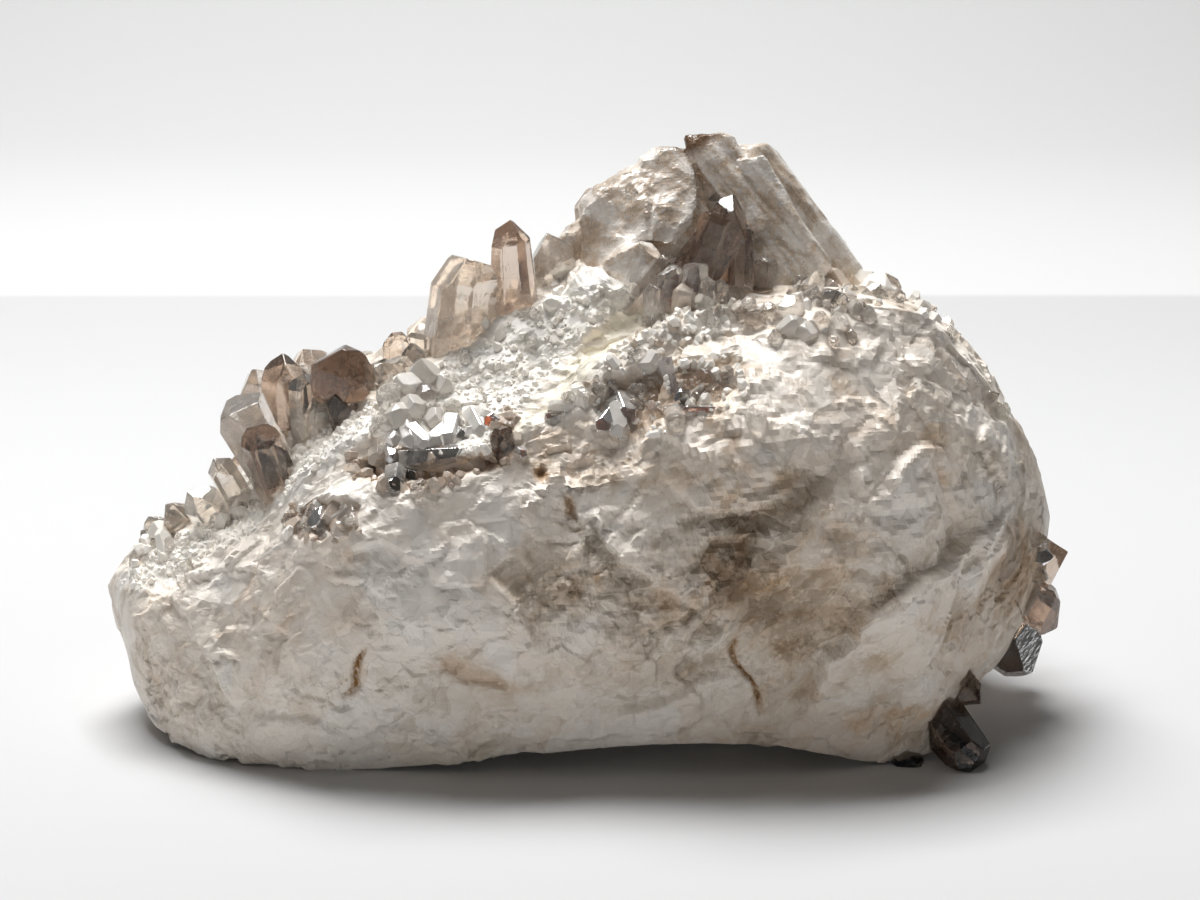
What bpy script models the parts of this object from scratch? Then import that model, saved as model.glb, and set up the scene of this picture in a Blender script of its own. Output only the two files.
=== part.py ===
# Smoky quartz cluster: a milky broken matrix with smoky crystals on its top, ends and back.
# The broken face looks along -Y, the long way is X, and the stone rests on z = 0.

import math
import random
from itertools import combinations

import bmesh
import bpy
import numpy as np
from mathutils import Matrix, Vector

MM = 0.001

# The matrix, in mm. Rails run from the left tip to the right tip, each point is x, y, z.
LEFT_TIP = (-75.0, -5.0, 20.0)
RIGHT_TIP = (74.0, 0.0, 30.0)
RAILS = {
    "front lip": [(-73.5, -7, 13), (-70, -14, 6), (-64, -23, 1.5), (-57, -30, 0), (-48, -34, 0),
                  (-34, -35, 0), (-26, -35.5, 0.8), (-12, -36, 2.6), (4, -36, 4.3), (16, -36, 5),
                  (26, -35.5, 4.2), (36, -35, 2.4), (44, -33, 0.2), (52, -30, 0.8), (58, -22, 5),
                  (64, -15, 9.6), (69, -10.5, 16), (72, -6.5, 20.6)],
    "low belly": [(-73.5, -9, 17), (-70, -18, 13), (-63, -27, 9.5), (-56, -34, 8.3), (-48, -38, 8.9),
                  (-41, -40, 10.4), (-27, -41, 13), (0, -40, 13), (23, -39.5, 13.9), (34, -38.5, 13),
                  (43, -37, 11.5), (51, -33, 10), (58, -25, 13.7), (64, -19, 17), (69, -13, 21.6),
                  (72, -8, 24.2)],
    "belly": [(-73, -10, 21.5), (-69, -19, 21), (-62, -28, 18.2), (-55, -35, 18), (-48, -39, 20),
              (-41, -41, 22.2), (-34, -42, 25.5), (-18, -43, 27.3), (13, -43, 29), (33, -42, 28.6),
              (43, -40, 27.7), (51, -35, 27.7), (57, -28, 28.8), (63, -21, 30.2), (68, -14, 31.5),
              (72, -8, 30.7)],
    "brow": [(-73, -8, 23.1), (-69, -15, 24.6), (-62, -23, 24.5), (-55, -30, 25), (-48, -34, 28.5),
             (-42, -36, 32.9), (-35, -37, 37.7), (-27, -37, 40.7), (-18, -37, 42.2), (2, -38, 45.5),
             (23, -38, 50), (42, -33, 51.7), (51, -29, 50.8), (57, -23, 49.4), (63, -18, 45.1),
             (68, -12, 40.5), (72, -7, 36)],
    "front ridge": [(-73, -6, 23.2), (-69, -11, 26.3), (-63, -16, 28.4), (-56, -20, 30.1),
                    (-49, -24, 34.7), (-42, -25, 44), (-35, -26, 49.6), (-28, -28, 51), (-21, -31, 49.5),
                    (-12, -30, 52), (-4, -26, 54.5), (2.5, -24, 58.5), (8.5, -22, 63), (16, -19, 67),
                    (30, -17, 67.5), (42, -17, 67), (50, -16, 65.5), (57, -14, 60), (64, -10, 51.5),
                    (69, -7, 44), (72, -4, 37.5)],
    "groove": [(-73, -5, 23.5), (-69, -8, 27), (-62, -11, 30), (-55, -14, 32.5), (-49, -16, 38),
               (-42, -18, 46.5), (-35, -20, 51.5), (-28, -23, 54.5), (-20, -24, 55.5), (-12, -23, 57.5),
               (-5, -19, 58), (2.5, -16.5, 59.5), (8.5, -15, 63), (16, -13, 66.5), (24, -12, 67.2),
               (42, -12, 67.5), (50, -11, 66), (57, -10, 61), (64, -7, 52), (69, -5, 44.5), (72, -3, 37.6)],
    "crest": [(-73, -3, 23.5), (-69, -4, 27), (-62, -5, 31), (-55, -7, 34.5), (-49, -8, 41),
              (-42, -9, 48.5), (-35, -11, 53), (-28, -14, 57), (-19, -13, 61.4), (-8, -10, 64.6),
              (2, -8, 67.3), (13, -6, 68), (42, -5, 68), (50, -5, 66.5), (57, -5, 61.5), (64, -4, 52.3),
              (69, -3, 44.7), (72, -1.5, 37.8)],
    "back top": [(-73, -1, 22.5), (-69, 3, 25), (-62, 6, 28.5), (-49, 6, 39), (-35, 5, 51),
                 (-19, 5, 60), (2, 12, 66), (18, 16, 68), (36, 14, 67), (46, 11, 65), (54, 8, 60),
                 (62, 5, 52), (68, 3, 44), (72, 1.5, 37)],
    "high back": [(-73, 0, 21), (-69, 8, 21), (-62, 15, 23), (-48, 19, 32), (-24, 24, 47), (6, 32, 54),
                  (34, 30, 53), (54, 21, 46), (68, 9, 37), (72, 4, 34)],
    "back": [(-73, 0, 19.5), (-69, 10, 16), (-62, 20, 15), (-42, 33, 20), (-12, 41, 26), (22, 42, 29),
             (48, 31, 27), (66, 14, 26), (71, 6, 28)],
    "heel": [(-73, -1, 18), (-69, 7, 11), (-62, 18, 6), (-40, 33, 5), (4, 41, 7), (40, 34, 6.5),
             (58, 18, 10), (66, 10, 17), (71, 4, 24)],
    "back sole": [(-73.5, -3, 14), (-70, 0, 6.5), (-63, 4, 1.8), (-52, 14, 0.6), (-40, 20, -0.9),
                  (-24, 25, 0.8), (2, 29, 0.4), (14, 28, -1.6), (28, 25, 0.6), (38, 21, 0.2), (48, 14, 1.6),
                  (56, 6, 4.4), (63, 2, 9.5), (69, 0, 17.5), (72, -1, 23)],
    "sole": [(-73.5, -4, 13.5), (-70, -4, 5.8), (-63, -3, 1.4), (-52, 1, -0.4), (-42, 4, -1.8),
             (-30, 6, -0.4), (-16, 7, 1.8), (4, 8, 2.8), (20, 7, 1.2), (34, 5, -0.8), (42, 3, -0.6),
             (50, 0, 1.2), (56, -2, 3.8), (63, -3, 9), (69, -3, 16.5), (72, -3, 22)],
    "front sole": [(-73.5, -5, 13.2), (-70, -7, 5.8), (-63, -9, 0.8), (-52, -12, -0.8), (-42, -14, -1.4),
                   (-30, -14, 0.4), (-12, -15, 2.2), (4, -15, 3), (20, -15, 2.2), (34, -15, -0.2),
                   (42, -15, -1.6), (50, -14, 0), (58, -10, 4), (64, -7, 9.3), (69, -5, 16),
                   (72, -4, 21.5)],
}
RINGS = 170
STEPS_PER_RAIL = 11

# Ledges of the broken face: the line as x, z in mm, and how far its left side stands out
LEDGES = [
    ([(37.5, 51), (39.5, 48.5), (40.5, 45), (41, 40)], 1.6),
    ([(44, 42), (45.5, 44), (47, 47.5), (50, 49.5), (53.5, 48)], -1.6),
    ([(33, 8), (34.5, 14.5), (36.5, 19), (39.5, 20.5), (41.5, 26), (46, 28.5), (55, 32.5), (66, 36)], -2.6),
    ([(-15, 38), (-13.5, 32.5), (-9, 28.5), (-7, 22)], -1.5),
    ([(1, 41), (6, 34), (11, 30.5), (17, 28.5)], 1.5),
    ([(1, 6), (5.5, 10.5), (12, 12), (18, 15.5), (23, 16.5)], -1.6),
    ([(53, 65), (56.5, 58), (59.5, 53), (63.5, 49), (68, 47)], -1.6),
    ([(-64, 25), (-58.5, 19), (-55.5, 13.5), (-54, 9)], 1.2),
    ([(-51, 7), (-46, 8.8), (-38.5, 8.5), (-33, 6)], -1.0),
    ([(-36, 34), (-30, 36), (-24, 34), (-19, 36)], 1.2),
    ([(10, 47), (16, 42), (24, 41), (31, 44)], 1.2),
]
LEDGE_REACH = 8.0
LEDGE_EDGE = 0.7

# Cracks of the broken face, as x, z lines, cut in by this depth
CRACKS = [
    [(-32.5, 22), (-32.5, 19), (-33, 15.5), (-36, 13)],
    [(22, 23), (22.5, 20), (25, 13.5), (26.5, 8)],
]
CRACK_DEPTH = 1.4
CRACK_WIDTH = 0.9

# Hollows: centre, half sizes and depth, in mm
HOLLOWS = {
    "pocket": ((-23, -33, 45.8), (13, 9, 5.0), 6.5),
    "vug": ((14.5, -31, 54.5), (12.5, 8, 6.5), 4.5),
    "nest": ((-37, -35, 37.2), (7.5, 7, 4.5), 3.0),
    "olive dent": ((-16, -42, 18), (8, 6, 4), 1.8),
}

INWARD = (0.0, 0.93, -0.25)

# Breakage of the surface: cell size and how far the cells' faces stand out or tilt, in mm
FACET_LAYERS = [(24.0, 0.9, 3.8), (10.0, 0.5, 2.0)]
FACET_BLEND = 0.22
FACET_WANDER = 0.16
# How much rougher the hidden side is, and how far from the tips and the sole the breakage calms down
BACK_CRAGS = 0.9
CALM_TIPS = 12.0
CALM_SOLE = 6.0
LEAST_RELIEF = 0.2
SOLE_RELIEF = 0.45
MATRIX_TRIANGLES = 2130

# Quartz: the angle between a tip's faces and the crystal's axis
TIP_ANGLE = math.radians(38.2)
# How much further out every second tip face lies, in radii
SMALL_FACE_LAG = 0.25
# Space between touching crystals, and how deep a crystal's root reaches below its foot
GAP = 0.35
ROOT = 2.5
# Pieces thinner than this are splinters, and faces flatter than this are one face
SMALLEST_PIECE = 1.5
FLAT = math.radians(0.7)
# Side of the block that levels the stone's foot, and how far outside the skin a search line starts
BLOCK = 400.0
OUTSIDE = 60.0
# Middle of the stone's length axis, from which small crystals point away
CORE_HEIGHT = 28.0

# Crystals of the groups: foot, tip, radius in mm, roll in degrees, how much of the tip is broken off
GROUPS = {
    "crown": ("smoky_pale", [
        ((22.5, 14, 80.3), (46, 13, 54.5), 7.9, 12, 0.0),
        ((12, 9, 82), (37, 6, 54), 7.6, 40, 0.0),
        ((25, 19, 60), (25.5, 17, 87), 5.0, 20, 0.3),
        ((7, 11, 58), (9.5, 10, 91), 8.8, 5, 0.42),
        ((14, 8, 58), (16, 7, 90), 6.5, 25, 0.3),
        ((-1, 12, 56), (-0.5, 11, 80), 6.4, 0, 0.35),
        ((33, 12, 70), (14.5, 8, 90.5), 2.6, 10, 0.75),
        ((20, 22, 55), (22, 30, 84), 7.0, 15, 0.0),
        ((6, 20, 55), (3, 30, 79), 6.0, 35, 0.1),
    ]),
    "twisted_crystal": ("smoky_dark", [
        ((12, -6, 62), (25, -4, 83), 4.5, 10, 0.25),
        ((23, -4, 62), (24, -4, 80), 3.3, 30, 0.3),
        ((3.5, -9, 58), (14.5, -6, 75.5), 2.6, 20, 0.1),
        ((14, -8, 58), (15.5, -8, 72), 3.5, 15, 0.2),
        ((19, -9, 60), (19.5, -9, 72), 3.0, 45, 0.2),
        ((26, -2, 60), (26.4, -2, 72.5), 2.2, 0, 0.2),
    ]),
    "gap_pair": ("smoky_mid", [
        ((-19.5, -5, 52), (-17, -6, 74.6), 5.6, 12, 0.2),
        ((-10.6, -4, 52), (-10.9, -4.5, 76.8), 3.7, 25, 0.0),
    ]),
    "gap_side_crystal": ("smoky_mid", [
        ((-3, 1, 58), (-5.5, 0, 75), 3.6, 10, 0.0),
    ]),
    "slope_cluster": ("smoky_mid", [
        ((-34, -3, 46), (-37.4, -19, 59.5), 4.8, 8, 0.16),
        ((-36, -9, 42), (-36.5, -18, 54), 3.3, 30, 0.1),
        ((-46, -8, 38), (-46.3, -8.5, 57.5), 3.5, 15, 0.0),
        ((-47, 1, 38), (-51, 0, 55), 4.2, 20, 0.2),
        ((-45, -9, 37), (-54.5, -11, 53), 4.8, 12, 0.24),
        ((-45, -13, 32), (-49.6, -19.5, 49), 3.4, 10, 0.12),
        ((-41.5, -2, 42), (-43, -3, 58.5), 3.3, 0, 0.15),
        ((-42, -11, 40), (-43, -12, 56), 2.8, 40, 0.1),
        ((-39, -12, 42), (-40, -14, 53), 2.6, 5, 0.1),
    ]),
    "slope_shard_1": ("smoky_mid", [
        ((-28.3, -7, 51), (-29, -8, 61.5), 1.9, 10, 0.1),
        ((-25.8, -7, 51), (-25.6, -8, 61.8), 2.1, 30, 0.2),
        ((-30.8, -9, 49), (-31, -10, 58), 2.5, 20, 0.1),
    ]),
    "slope_shard_2": ("smoky_pale", [
        ((-52, -8, 32), (-56.5, -12, 42.5), 2.5, 10, 0.1),
        ((-55, -9, 29), (-60, -14, 38), 3.0, 30, 0.1),
    ]),
    "slope_shard_3": ("smoky_pale", [
        ((-60, -6, 26), (-65, -9, 34.5), 2.6, 0, 0.1),
        ((-64, -3, 24), (-69, -5, 31), 2.2, 25, 0.1),
    ]),
    "flank_cluster": ("smoky_dark", [
        ((64, 1, 27), (76.2, -4, 20.5), 5.0, 10, 0.2),
        ((62, -3, 21), (75.3, -7, 14.0), 4.9, 25, 0.15),
        ((59, -6, 16), (71.5, -11, 8.0), 4.5, 0, 0.15),
        ((62, 4, 18), (74, 6, 11), 4.6, 30, 0.1),
    ]),
    "foot_crystal": ("smoky_dark", [
        ((50, -22, 10), (59.6, -35.5, -0.8), 4.1, 12, 0.18),
        ((53, -18, 14), (59.5, -27, 7.5), 2.6, 30, 0.1),
    ]),
    "under_crystal": ("smoky_dark", [
        ((45, -22, 6), (49.5, -34, -2.5), 2.7, 5, 0.1),
    ]),
}

# Groups of the hidden side: foot on the back, counted along x and z, then sizes
BACK_GROUPS = {
    "back_left": ((-50, -22), (16, 38), 7, 5.4, 13.0, 3),
    "back_middle": ((-14, 12), (16, 46), 8, 6.6, 14.0, 5),
    "back_right": ((22, 46), (16, 42), 7, 6.0, 13.0, 8),
    "back_end": ((52, 62), (20, 40), 4, 4.6, 10.0, 9),
}

# Small crystals fused to the matrix: x range, the two rails between which they stand, count, radius
DRUSES = [
    ("pale band", (-30, 12), ("front ridge", "crest"), 8, 2.0, 21),
    ("right crest", (28, 56), ("front ridge", "crest"), 7, 2.1, 33),
    ("left ridge", (-66, -50), ("front ridge", "groove"), 3, 1.7, 41),
    ("upper back", (-52, 4), ("crest", "high back"), 5, 3.0, 57),
    ("right back", (26, 62), ("back top", "back"), 3, 3.0, 65),
]

# Crusts of small crystals in hollows: hollow, count, radius, direction they point in
CRUSTS = {
    "pocket_crust": ("pocket", 6, 2.9, (0.1, -0.9, 0.25), 71),
    "vug_crust": ("vug", 7, 2.8, (0.0, -0.8, 0.55), 83),
    "nest_crust": ("nest", 4, 2.4, (-0.1, -0.85, 0.4), 95),
}

# Colour, roughness
LOOKS = {
    "milky": ((0.80, 0.77, 0.73, 1.0), 0.55),
    "smoky_pale": ((0.66, 0.58, 0.52, 1.0), 0.12),
    "smoky_mid": ((0.45, 0.35, 0.28, 1.0), 0.10),
    "smoky_dark": ((0.24, 0.16, 0.12, 1.0), 0.10),
}


def material(name):
    """One shared material for each look."""
    found = bpy.data.materials.get(name)
    if found:
        return found
    colour, roughness = LOOKS[name]
    made = bpy.data.materials.new(name)
    made.use_nodes = True
    shader = made.node_tree.nodes["Principled BSDF"]
    shader.inputs["Base Color"].default_value = colour
    shader.inputs["Roughness"].default_value = roughness
    shader.inputs["Metallic"].default_value = 0.0
    return made


def slopes(at, values):
    """Slopes of a smooth curve through the values that never overshoots them."""
    steps = np.diff(values) / np.diff(at)
    before = steps[:-1]
    after = steps[1:]
    same_way = before * after > 0
    total = np.where(same_way, before + after, 1.0)
    inner = np.where(same_way, 2 * before * after / total, 0.0)
    return np.concatenate([steps[:1], inner, steps[-1:]])


def rail_values(points, xs):
    """The rail's y and z at each x."""
    knots = np.array([LEFT_TIP] + list(points) + [RIGHT_TIP], dtype=float)
    at = knots[:, 0]
    place = np.clip(np.searchsorted(at, xs, side="right") - 1, 0, len(at) - 2)
    width = at[place + 1] - at[place]
    t = (xs - at[place]) / width
    found = []
    for column in (1, 2):
        values = knots[:, column]
        slope = slopes(at, values)
        first = values[place] * (1 + 2 * t) * (1 - t) ** 2 + slope[place] * width * t * (1 - t) ** 2
        second = values[place + 1] * t * t * (3 - 2 * t) + slope[place + 1] * width * t * t * (t - 1)
        found.append(first + second)
    return np.stack(found, axis=1)


def ring_xs():
    """Ring places along the stone, closer together towards both tips."""
    turn = np.linspace(0, math.pi, RINGS + 2)[1:-1]
    middle = (LEFT_TIP[0] + RIGHT_TIP[0]) / 2
    return middle - (RIGHT_TIP[0] - LEFT_TIP[0]) / 2 * np.cos(turn)


def ring_points(corners):
    """A rounded closed ring through the rails' points at one x."""
    after = np.roll(corners, -1, axis=0)
    before = np.roll(corners, 1, axis=0)
    reach = np.linalg.norm(after - corners, axis=1)[:, None] + 1e-9
    back = np.linalg.norm(corners - before, axis=1)[:, None] + 1e-9
    slope = ((after - corners) / reach * back + (corners - before) / back * reach) / (reach + back)
    points = []
    for t in np.arange(STEPS_PER_RAIL) / STEPS_PER_RAIL:
        start = corners * (1 + 2 * t) * (1 - t) ** 2 + slope * reach * t * (1 - t) ** 2
        end = after * t * t * (3 - 2 * t) + np.roll(slope, -1, axis=0) * reach * t * t * (t - 1)
        points.append(start + end)
    return np.stack(points, axis=1).reshape(-1, 2)


def line_distance(px, pz, line):
    """Signed distance to a line on the broken face, positive left of it, and a fade towards its ends."""
    nearest = np.full(px.shape, 1e9)
    side = np.ones(px.shape)
    along = np.zeros(px.shape)
    lengths = [math.dist(a, b) for a, b in zip(line, line[1:])]
    run = 0.0
    for (ax, az), (bx, bz), length in zip(line, line[1:], lengths):
        ux, uz = (bx - ax) / length, (bz - az) / length
        s = np.clip((px - ax) * ux + (pz - az) * uz, 0, length)
        gap = np.hypot(px - ax - s * ux, pz - az - s * uz)
        closer = gap < nearest
        nearest = np.where(closer, gap, nearest)
        side = np.where(closer, np.sign(ux * (pz - az) - uz * (px - ax)), side)
        along = np.where(closer, run + s, along)
        run += length
    fade = np.clip(np.minimum(along, run - along) / (0.2 * run), 0, 1)
    return nearest * side, fade


def scatter(cells, salt):
    """A fixed random number from 0 to 1 for each cell of a grid."""
    mixed = cells[..., 0] * 73856093 ^ cells[..., 1] * 19349663 ^ cells[..., 2] * 83492791 ^ salt * 1299721
    mixed = ((mixed & 0xFFFFFFFF) ^ ((mixed & 0xFFFFFFFF) >> 13)) * 1274126177 & 0xFFFFFFFF
    mixed = (mixed ^ (mixed >> 15)) * 668265263 & 0xFFFFFFFF
    return ((mixed ^ (mixed >> 16)) & 0xFFFFFF) / 0xFFFFFF


def soft_noise(points, salt):
    """Smooth noise from -1 to 1 with waves about one unit long."""
    base = np.floor(points).astype(np.int64)
    part = points - base
    part = part * part * (3 - 2 * part)
    total = np.zeros(len(points))
    for corner in np.ndindex(2, 2, 2):
        weight = np.prod(np.where(corner, part, 1 - part), axis=1)
        total += weight * scatter(base + corner, salt)
    return total * 2 - 1


def facet_lift(points, size, lift, tilt, salt):
    """Height of the flat, tilted faces of scattered cells, blended where two cells meet."""
    scaled = points / size
    wander = np.stack([soft_noise(scaled * 1.7, salt + 20 + axis) for axis in range(3)], axis=1)
    scaled = scaled + wander * FACET_WANDER
    base = np.floor(scaled).astype(np.int64)
    near = np.full((len(points), 2), 1e9)
    height = np.zeros((len(points), 2))
    for step in np.ndindex(3, 3, 3):
        cells = base + step - 1
        centre = cells + np.stack([scatter(cells, salt + axis) for axis in range(3)], axis=1)
        lean = np.stack([scatter(cells, salt + 10 + axis) * 2 - 1 for axis in range(3)], axis=1)
        away = scaled - centre
        gap = np.linalg.norm(away, axis=1)
        value = lift * (scatter(cells, salt + 5) * 2 - 1) + tilt * np.sum(away * lean, axis=1)
        first = gap < near[:, 0]
        second = ~first & (gap < near[:, 1])
        near[:, 1] = np.where(first, near[:, 0], np.where(second, gap, near[:, 1]))
        height[:, 1] = np.where(first, height[:, 0], np.where(second, value, height[:, 1]))
        near[:, 0] = np.where(first, gap, near[:, 0])
        height[:, 0] = np.where(first, value, height[:, 0])
    blend = 0.5 * np.clip(1 - (near[:, 1] - near[:, 0]) / FACET_BLEND, 0, 1)
    return height[:, 0] * (1 - blend) + height[:, 1] * blend


def matrix_relief(points, normals):
    """How far each point of the smooth stone moves along its normal, in mm."""
    px, py, pz = points.T
    facing = np.clip(-normals[:, 1] * 2.0, 0, 1)
    total = np.zeros(len(points))
    for line, height in LEDGES:
        away, fade = line_distance(px, pz, line)
        step = 0.5 * height * np.tanh(away / LEDGE_EDGE) * np.exp(-np.abs(away) / LEDGE_REACH)
        total += step * fade * facing
    for line in CRACKS:
        away, fade = line_distance(px, pz, line)
        total -= CRACK_DEPTH * np.exp(-(away / CRACK_WIDTH) ** 2) * fade * facing
    edge = np.clip(np.minimum(px - LEFT_TIP[0], RIGHT_TIP[0] - px) / CALM_TIPS, LEAST_RELIEF, 1)
    low = np.clip(pz / CALM_SOLE, SOLE_RELIEF, 1)
    craggy = 1 + BACK_CRAGS * np.clip(normals[:, 1] * 2, 0, 1)
    for number, (size, lift, tilt) in enumerate(FACET_LAYERS):
        total += facet_lift(points, size, lift, tilt, 100 * (number + 1)) * edge * low * craggy
    return total


def hollow_depth(points):
    """How far each point sinks into a hollow, in mm."""
    depth = np.zeros(len(points))
    for centre, half, deep in HOLLOWS.values():
        r = np.linalg.norm((points - np.array(centre)) / np.array(half), axis=1)
        depth = np.maximum(depth, deep * np.clip(1 - r ** 2, 0, 1) ** 0.6)
    return depth


def rails_at(xs):
    """The rails' y and z for each x, one row for each rail."""
    return {name: rail_values(points, xs) for name, points in RAILS.items()}


def stone_mesh():
    """The closed, broken surface of the matrix as one fine mesh, in mm."""
    xs = ring_xs()
    rails = np.stack(list(rails_at(xs).values()), axis=1)
    mesh = bmesh.new()
    first = mesh.verts.new(LEFT_TIP)
    rings = []
    for x, corners in zip(xs, rails):
        rings.append([mesh.verts.new((x, y, z)) for y, z in ring_points(corners)])
    last = mesh.verts.new(RIGHT_TIP)
    count = len(rings[0])
    for here, there in zip(rings, rings[1:]):
        for k in range(count):
            n = (k + 1) % count
            mesh.faces.new((here[k], here[n], there[n], there[k]))
    for k in range(count):
        n = (k + 1) % count
        mesh.faces.new((first, rings[0][n], rings[0][k]))
        mesh.faces.new((last, rings[-1][k], rings[-1][n]))
    bmesh.ops.recalc_face_normals(mesh, faces=mesh.faces)
    mesh.normal_update()
    points = np.array([v.co for v in mesh.verts])
    normals = np.array([v.normal for v in mesh.verts])
    moved = points + normals * matrix_relief(points, normals)[:, None]
    moved += np.array(INWARD) * hollow_depth(points)[:, None]
    for vert, place in zip(mesh.verts, moved):
        vert.co = place
    bmesh.ops.triangulate(mesh, faces=mesh.faces)
    return mesh


def make_object(name, mesh, look):
    """Turns a bmesh in mm into an object in metres."""
    bmesh.ops.scale(mesh, vec=(MM, MM, MM), verts=mesh.verts)
    data = bpy.data.meshes.new(name)
    mesh.to_mesh(data)
    mesh.free()
    data.materials.append(material(look))
    return link(name, data)


def remove(thing):
    bpy.data.objects.remove(thing, do_unlink=True)


def apply_modifiers(thing):
    """Keeps the shape that the modifiers give."""
    bpy.context.view_layer.update()
    graph = bpy.context.evaluated_depsgraph_get()
    shaped = bpy.data.meshes.new_from_object(thing.evaluated_get(graph))
    thing.modifiers.clear()
    thing.data = shaped


def open_edges(mesh):
    """Edges that don't lie between just two faces."""
    return [edge for edge in mesh.edges if len(edge.link_faces) != 2]


def into_triangles(mesh):
    """Cuts all faces into triangles. Of two faces that would share a new edge, one gets a middle point."""
    if open_edges(mesh):
        return False
    for _ in range(8):
        mesh.verts.index_update()
        trial = mesh.copy()
        bmesh.ops.triangulate(trial, faces=trial.faces)
        shared = [{vert.index for vert in edge.verts} for edge in open_edges(trial)]
        trial.free()
        if not shared:
            bmesh.ops.triangulate(mesh, faces=mesh.faces)
            return True
        middles = []
        for pair in shared:
            faces = [f for f in mesh.faces if len(f.verts) > 3 and pair <= {v.index for v in f.verts}]
            middles.append(min(faces, key=lambda face: face.calc_area()))
        bmesh.ops.poke(mesh, faces=list(dict.fromkeys(middles)))
    return False


def split_faces(thing):
    """Turns the faces that a cut leaves into triangles."""
    mesh = bmesh.new()
    mesh.from_mesh(thing.data)
    if into_triangles(mesh):
        mesh.to_mesh(thing.data)
    mesh.free()


def combine(thing, others, operation, solver="EXACT"):
    """Joins the others to the thing, or cuts them from it."""
    for other in others:
        cut = thing.modifiers.new("Boolean", "BOOLEAN")
        cut.operation = operation
        cut.solver = solver
        cut.object = other
        apply_modifiers(thing)
        split_faces(thing)
        remove(other)


def islands_of(mesh):
    """The mesh's loose parts, each as a list of its vertices."""
    seen = set()
    islands = []
    for start in mesh.verts:
        if start in seen:
            continue
        seen.add(start)
        island = [start]
        for vert in island:
            for edge in vert.link_edges:
                other = edge.other_vert(vert)
                if other not in seen:
                    seen.add(other)
                    island.append(other)
        islands.append(island)
    return islands


def smallest_side(verts):
    """Shortest side of the box around some vertices, in mm."""
    places = np.array([v.co for v in verts])
    return float((places.max(axis=0) - places.min(axis=0)).min()) / MM


def separate(thing, one_only):
    """Gives each loose part of the solid its own object and drops splinters."""
    mesh = bmesh.new()
    mesh.from_mesh(thing.data)
    mesh.verts.ensure_lookup_table()
    islands = [[v.index for v in isle] for isle in islands_of(mesh) if smallest_side(isle) > SMALLEST_PIECE]
    islands.sort(key=len, reverse=True)
    mesh.free()
    if one_only:
        islands = islands[:1]
    pieces = []
    for number, island in enumerate(islands):
        kept = set(island)
        part = bmesh.new()
        part.from_mesh(thing.data)
        bmesh.ops.delete(part, geom=[v for v in part.verts if v.index not in kept], context="VERTS")
        data = thing.data.copy()
        part.to_mesh(data)
        part.free()
        name = thing.name if len(islands) == 1 else f"{thing.name}_{number + 1}"
        pieces.append((name, data))
    remove(thing)
    return [link(name, data) for name, data in pieces]


def link(name, data):
    """Puts a mesh into the scene as an object."""
    made = bpy.data.objects.new(name, data)
    bpy.context.scene.collection.objects.link(made)
    return made


def clean(thing):
    """Joins flat neighbours and tiny edges that cuts leave, as far as the solid stays closed."""
    for smallest in (0.06, 0.03, 0.1, 0.01):
        mesh = bmesh.new()
        mesh.from_mesh(thing.data)
        bmesh.ops.remove_doubles(mesh, verts=mesh.verts, dist=smallest * MM)
        bmesh.ops.dissolve_degenerate(mesh, edges=mesh.edges, dist=smallest * MM)
        bmesh.ops.dissolve_limit(mesh, angle_limit=FLAT, verts=mesh.verts, edges=mesh.edges)
        done = into_triangles(mesh)
        if done:
            mesh.to_mesh(thing.data)
        mesh.free()
        if done:
            return


def crystal_planes(radius, length, broken, chance):
    """Planes around a six-sided crystal that stands on the origin: normal and distance."""
    planes = []
    lean = math.pi / 2 - TIP_ANGLE
    for side in range(6):
        turn = side * math.pi / 3
        reach = radius * chance.uniform(0.82, 1.06)
        planes.append((Vector((math.cos(turn), math.sin(turn), 0)), reach))
        out = math.sin(lean)
        up = math.cos(lean)
        later = chance.uniform(0.0, 0.25)
        if side % 2:
            later += SMALL_FACE_LAG
        peak = length + later * radius
        planes.append((Vector((math.cos(turn) * out, math.sin(turn) * out, up)), peak * up))
    planes.append((Vector((0, 0, -1)), ROOT))
    if broken:
        tilt = Vector((chance.uniform(-0.7, 0.7), chance.uniform(-0.7, 0.7), 1)).normalized()
        planes.append((tilt, (length - broken * 2.2 * radius) * tilt.z))
    return planes


def solid_from_planes(planes):
    """The closed solid inside all the planes."""
    normals = np.array([tuple(normal) for normal, _ in planes])
    reaches = np.array([reach for _, reach in planes])
    corners = []
    for trio in combinations(range(len(planes)), 3):
        part = normals[list(trio)]
        if abs(np.linalg.det(part)) < 1e-4:
            continue
        corner = np.linalg.solve(part, reaches[list(trio)])
        if np.all(normals @ corner <= reaches + 1e-6):
            corners.append(corner)
    mesh = bmesh.new()
    for corner in corners:
        mesh.verts.new(corner)
    bmesh.ops.remove_doubles(mesh, verts=mesh.verts, dist=0.05)
    hull = bmesh.ops.convex_hull(mesh, input=mesh.verts)
    bmesh.ops.delete(mesh, geom=hull["geom_interior"], context="VERTS")
    bmesh.ops.dissolve_limit(mesh, angle_limit=math.radians(1), verts=mesh.verts, edges=mesh.edges)
    bmesh.ops.recalc_face_normals(mesh, faces=mesh.faces)
    return mesh


def crystal(name, foot, tip, radius, roll, broken, look, seed):
    """One crystal from its foot to its tip."""
    axis = Vector(tip) - Vector(foot)
    mesh = solid_from_planes(crystal_planes(radius, axis.length, broken, random.Random(seed)))
    turn = Matrix.Rotation(math.radians(roll), 4, "Z")
    aim = axis.to_track_quat("Z", "Y").to_matrix().to_4x4()
    bmesh.ops.transform(mesh, matrix=Matrix.Translation(foot) @ aim @ turn, verts=mesh.verts)
    return make_object(name, mesh, look)


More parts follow.
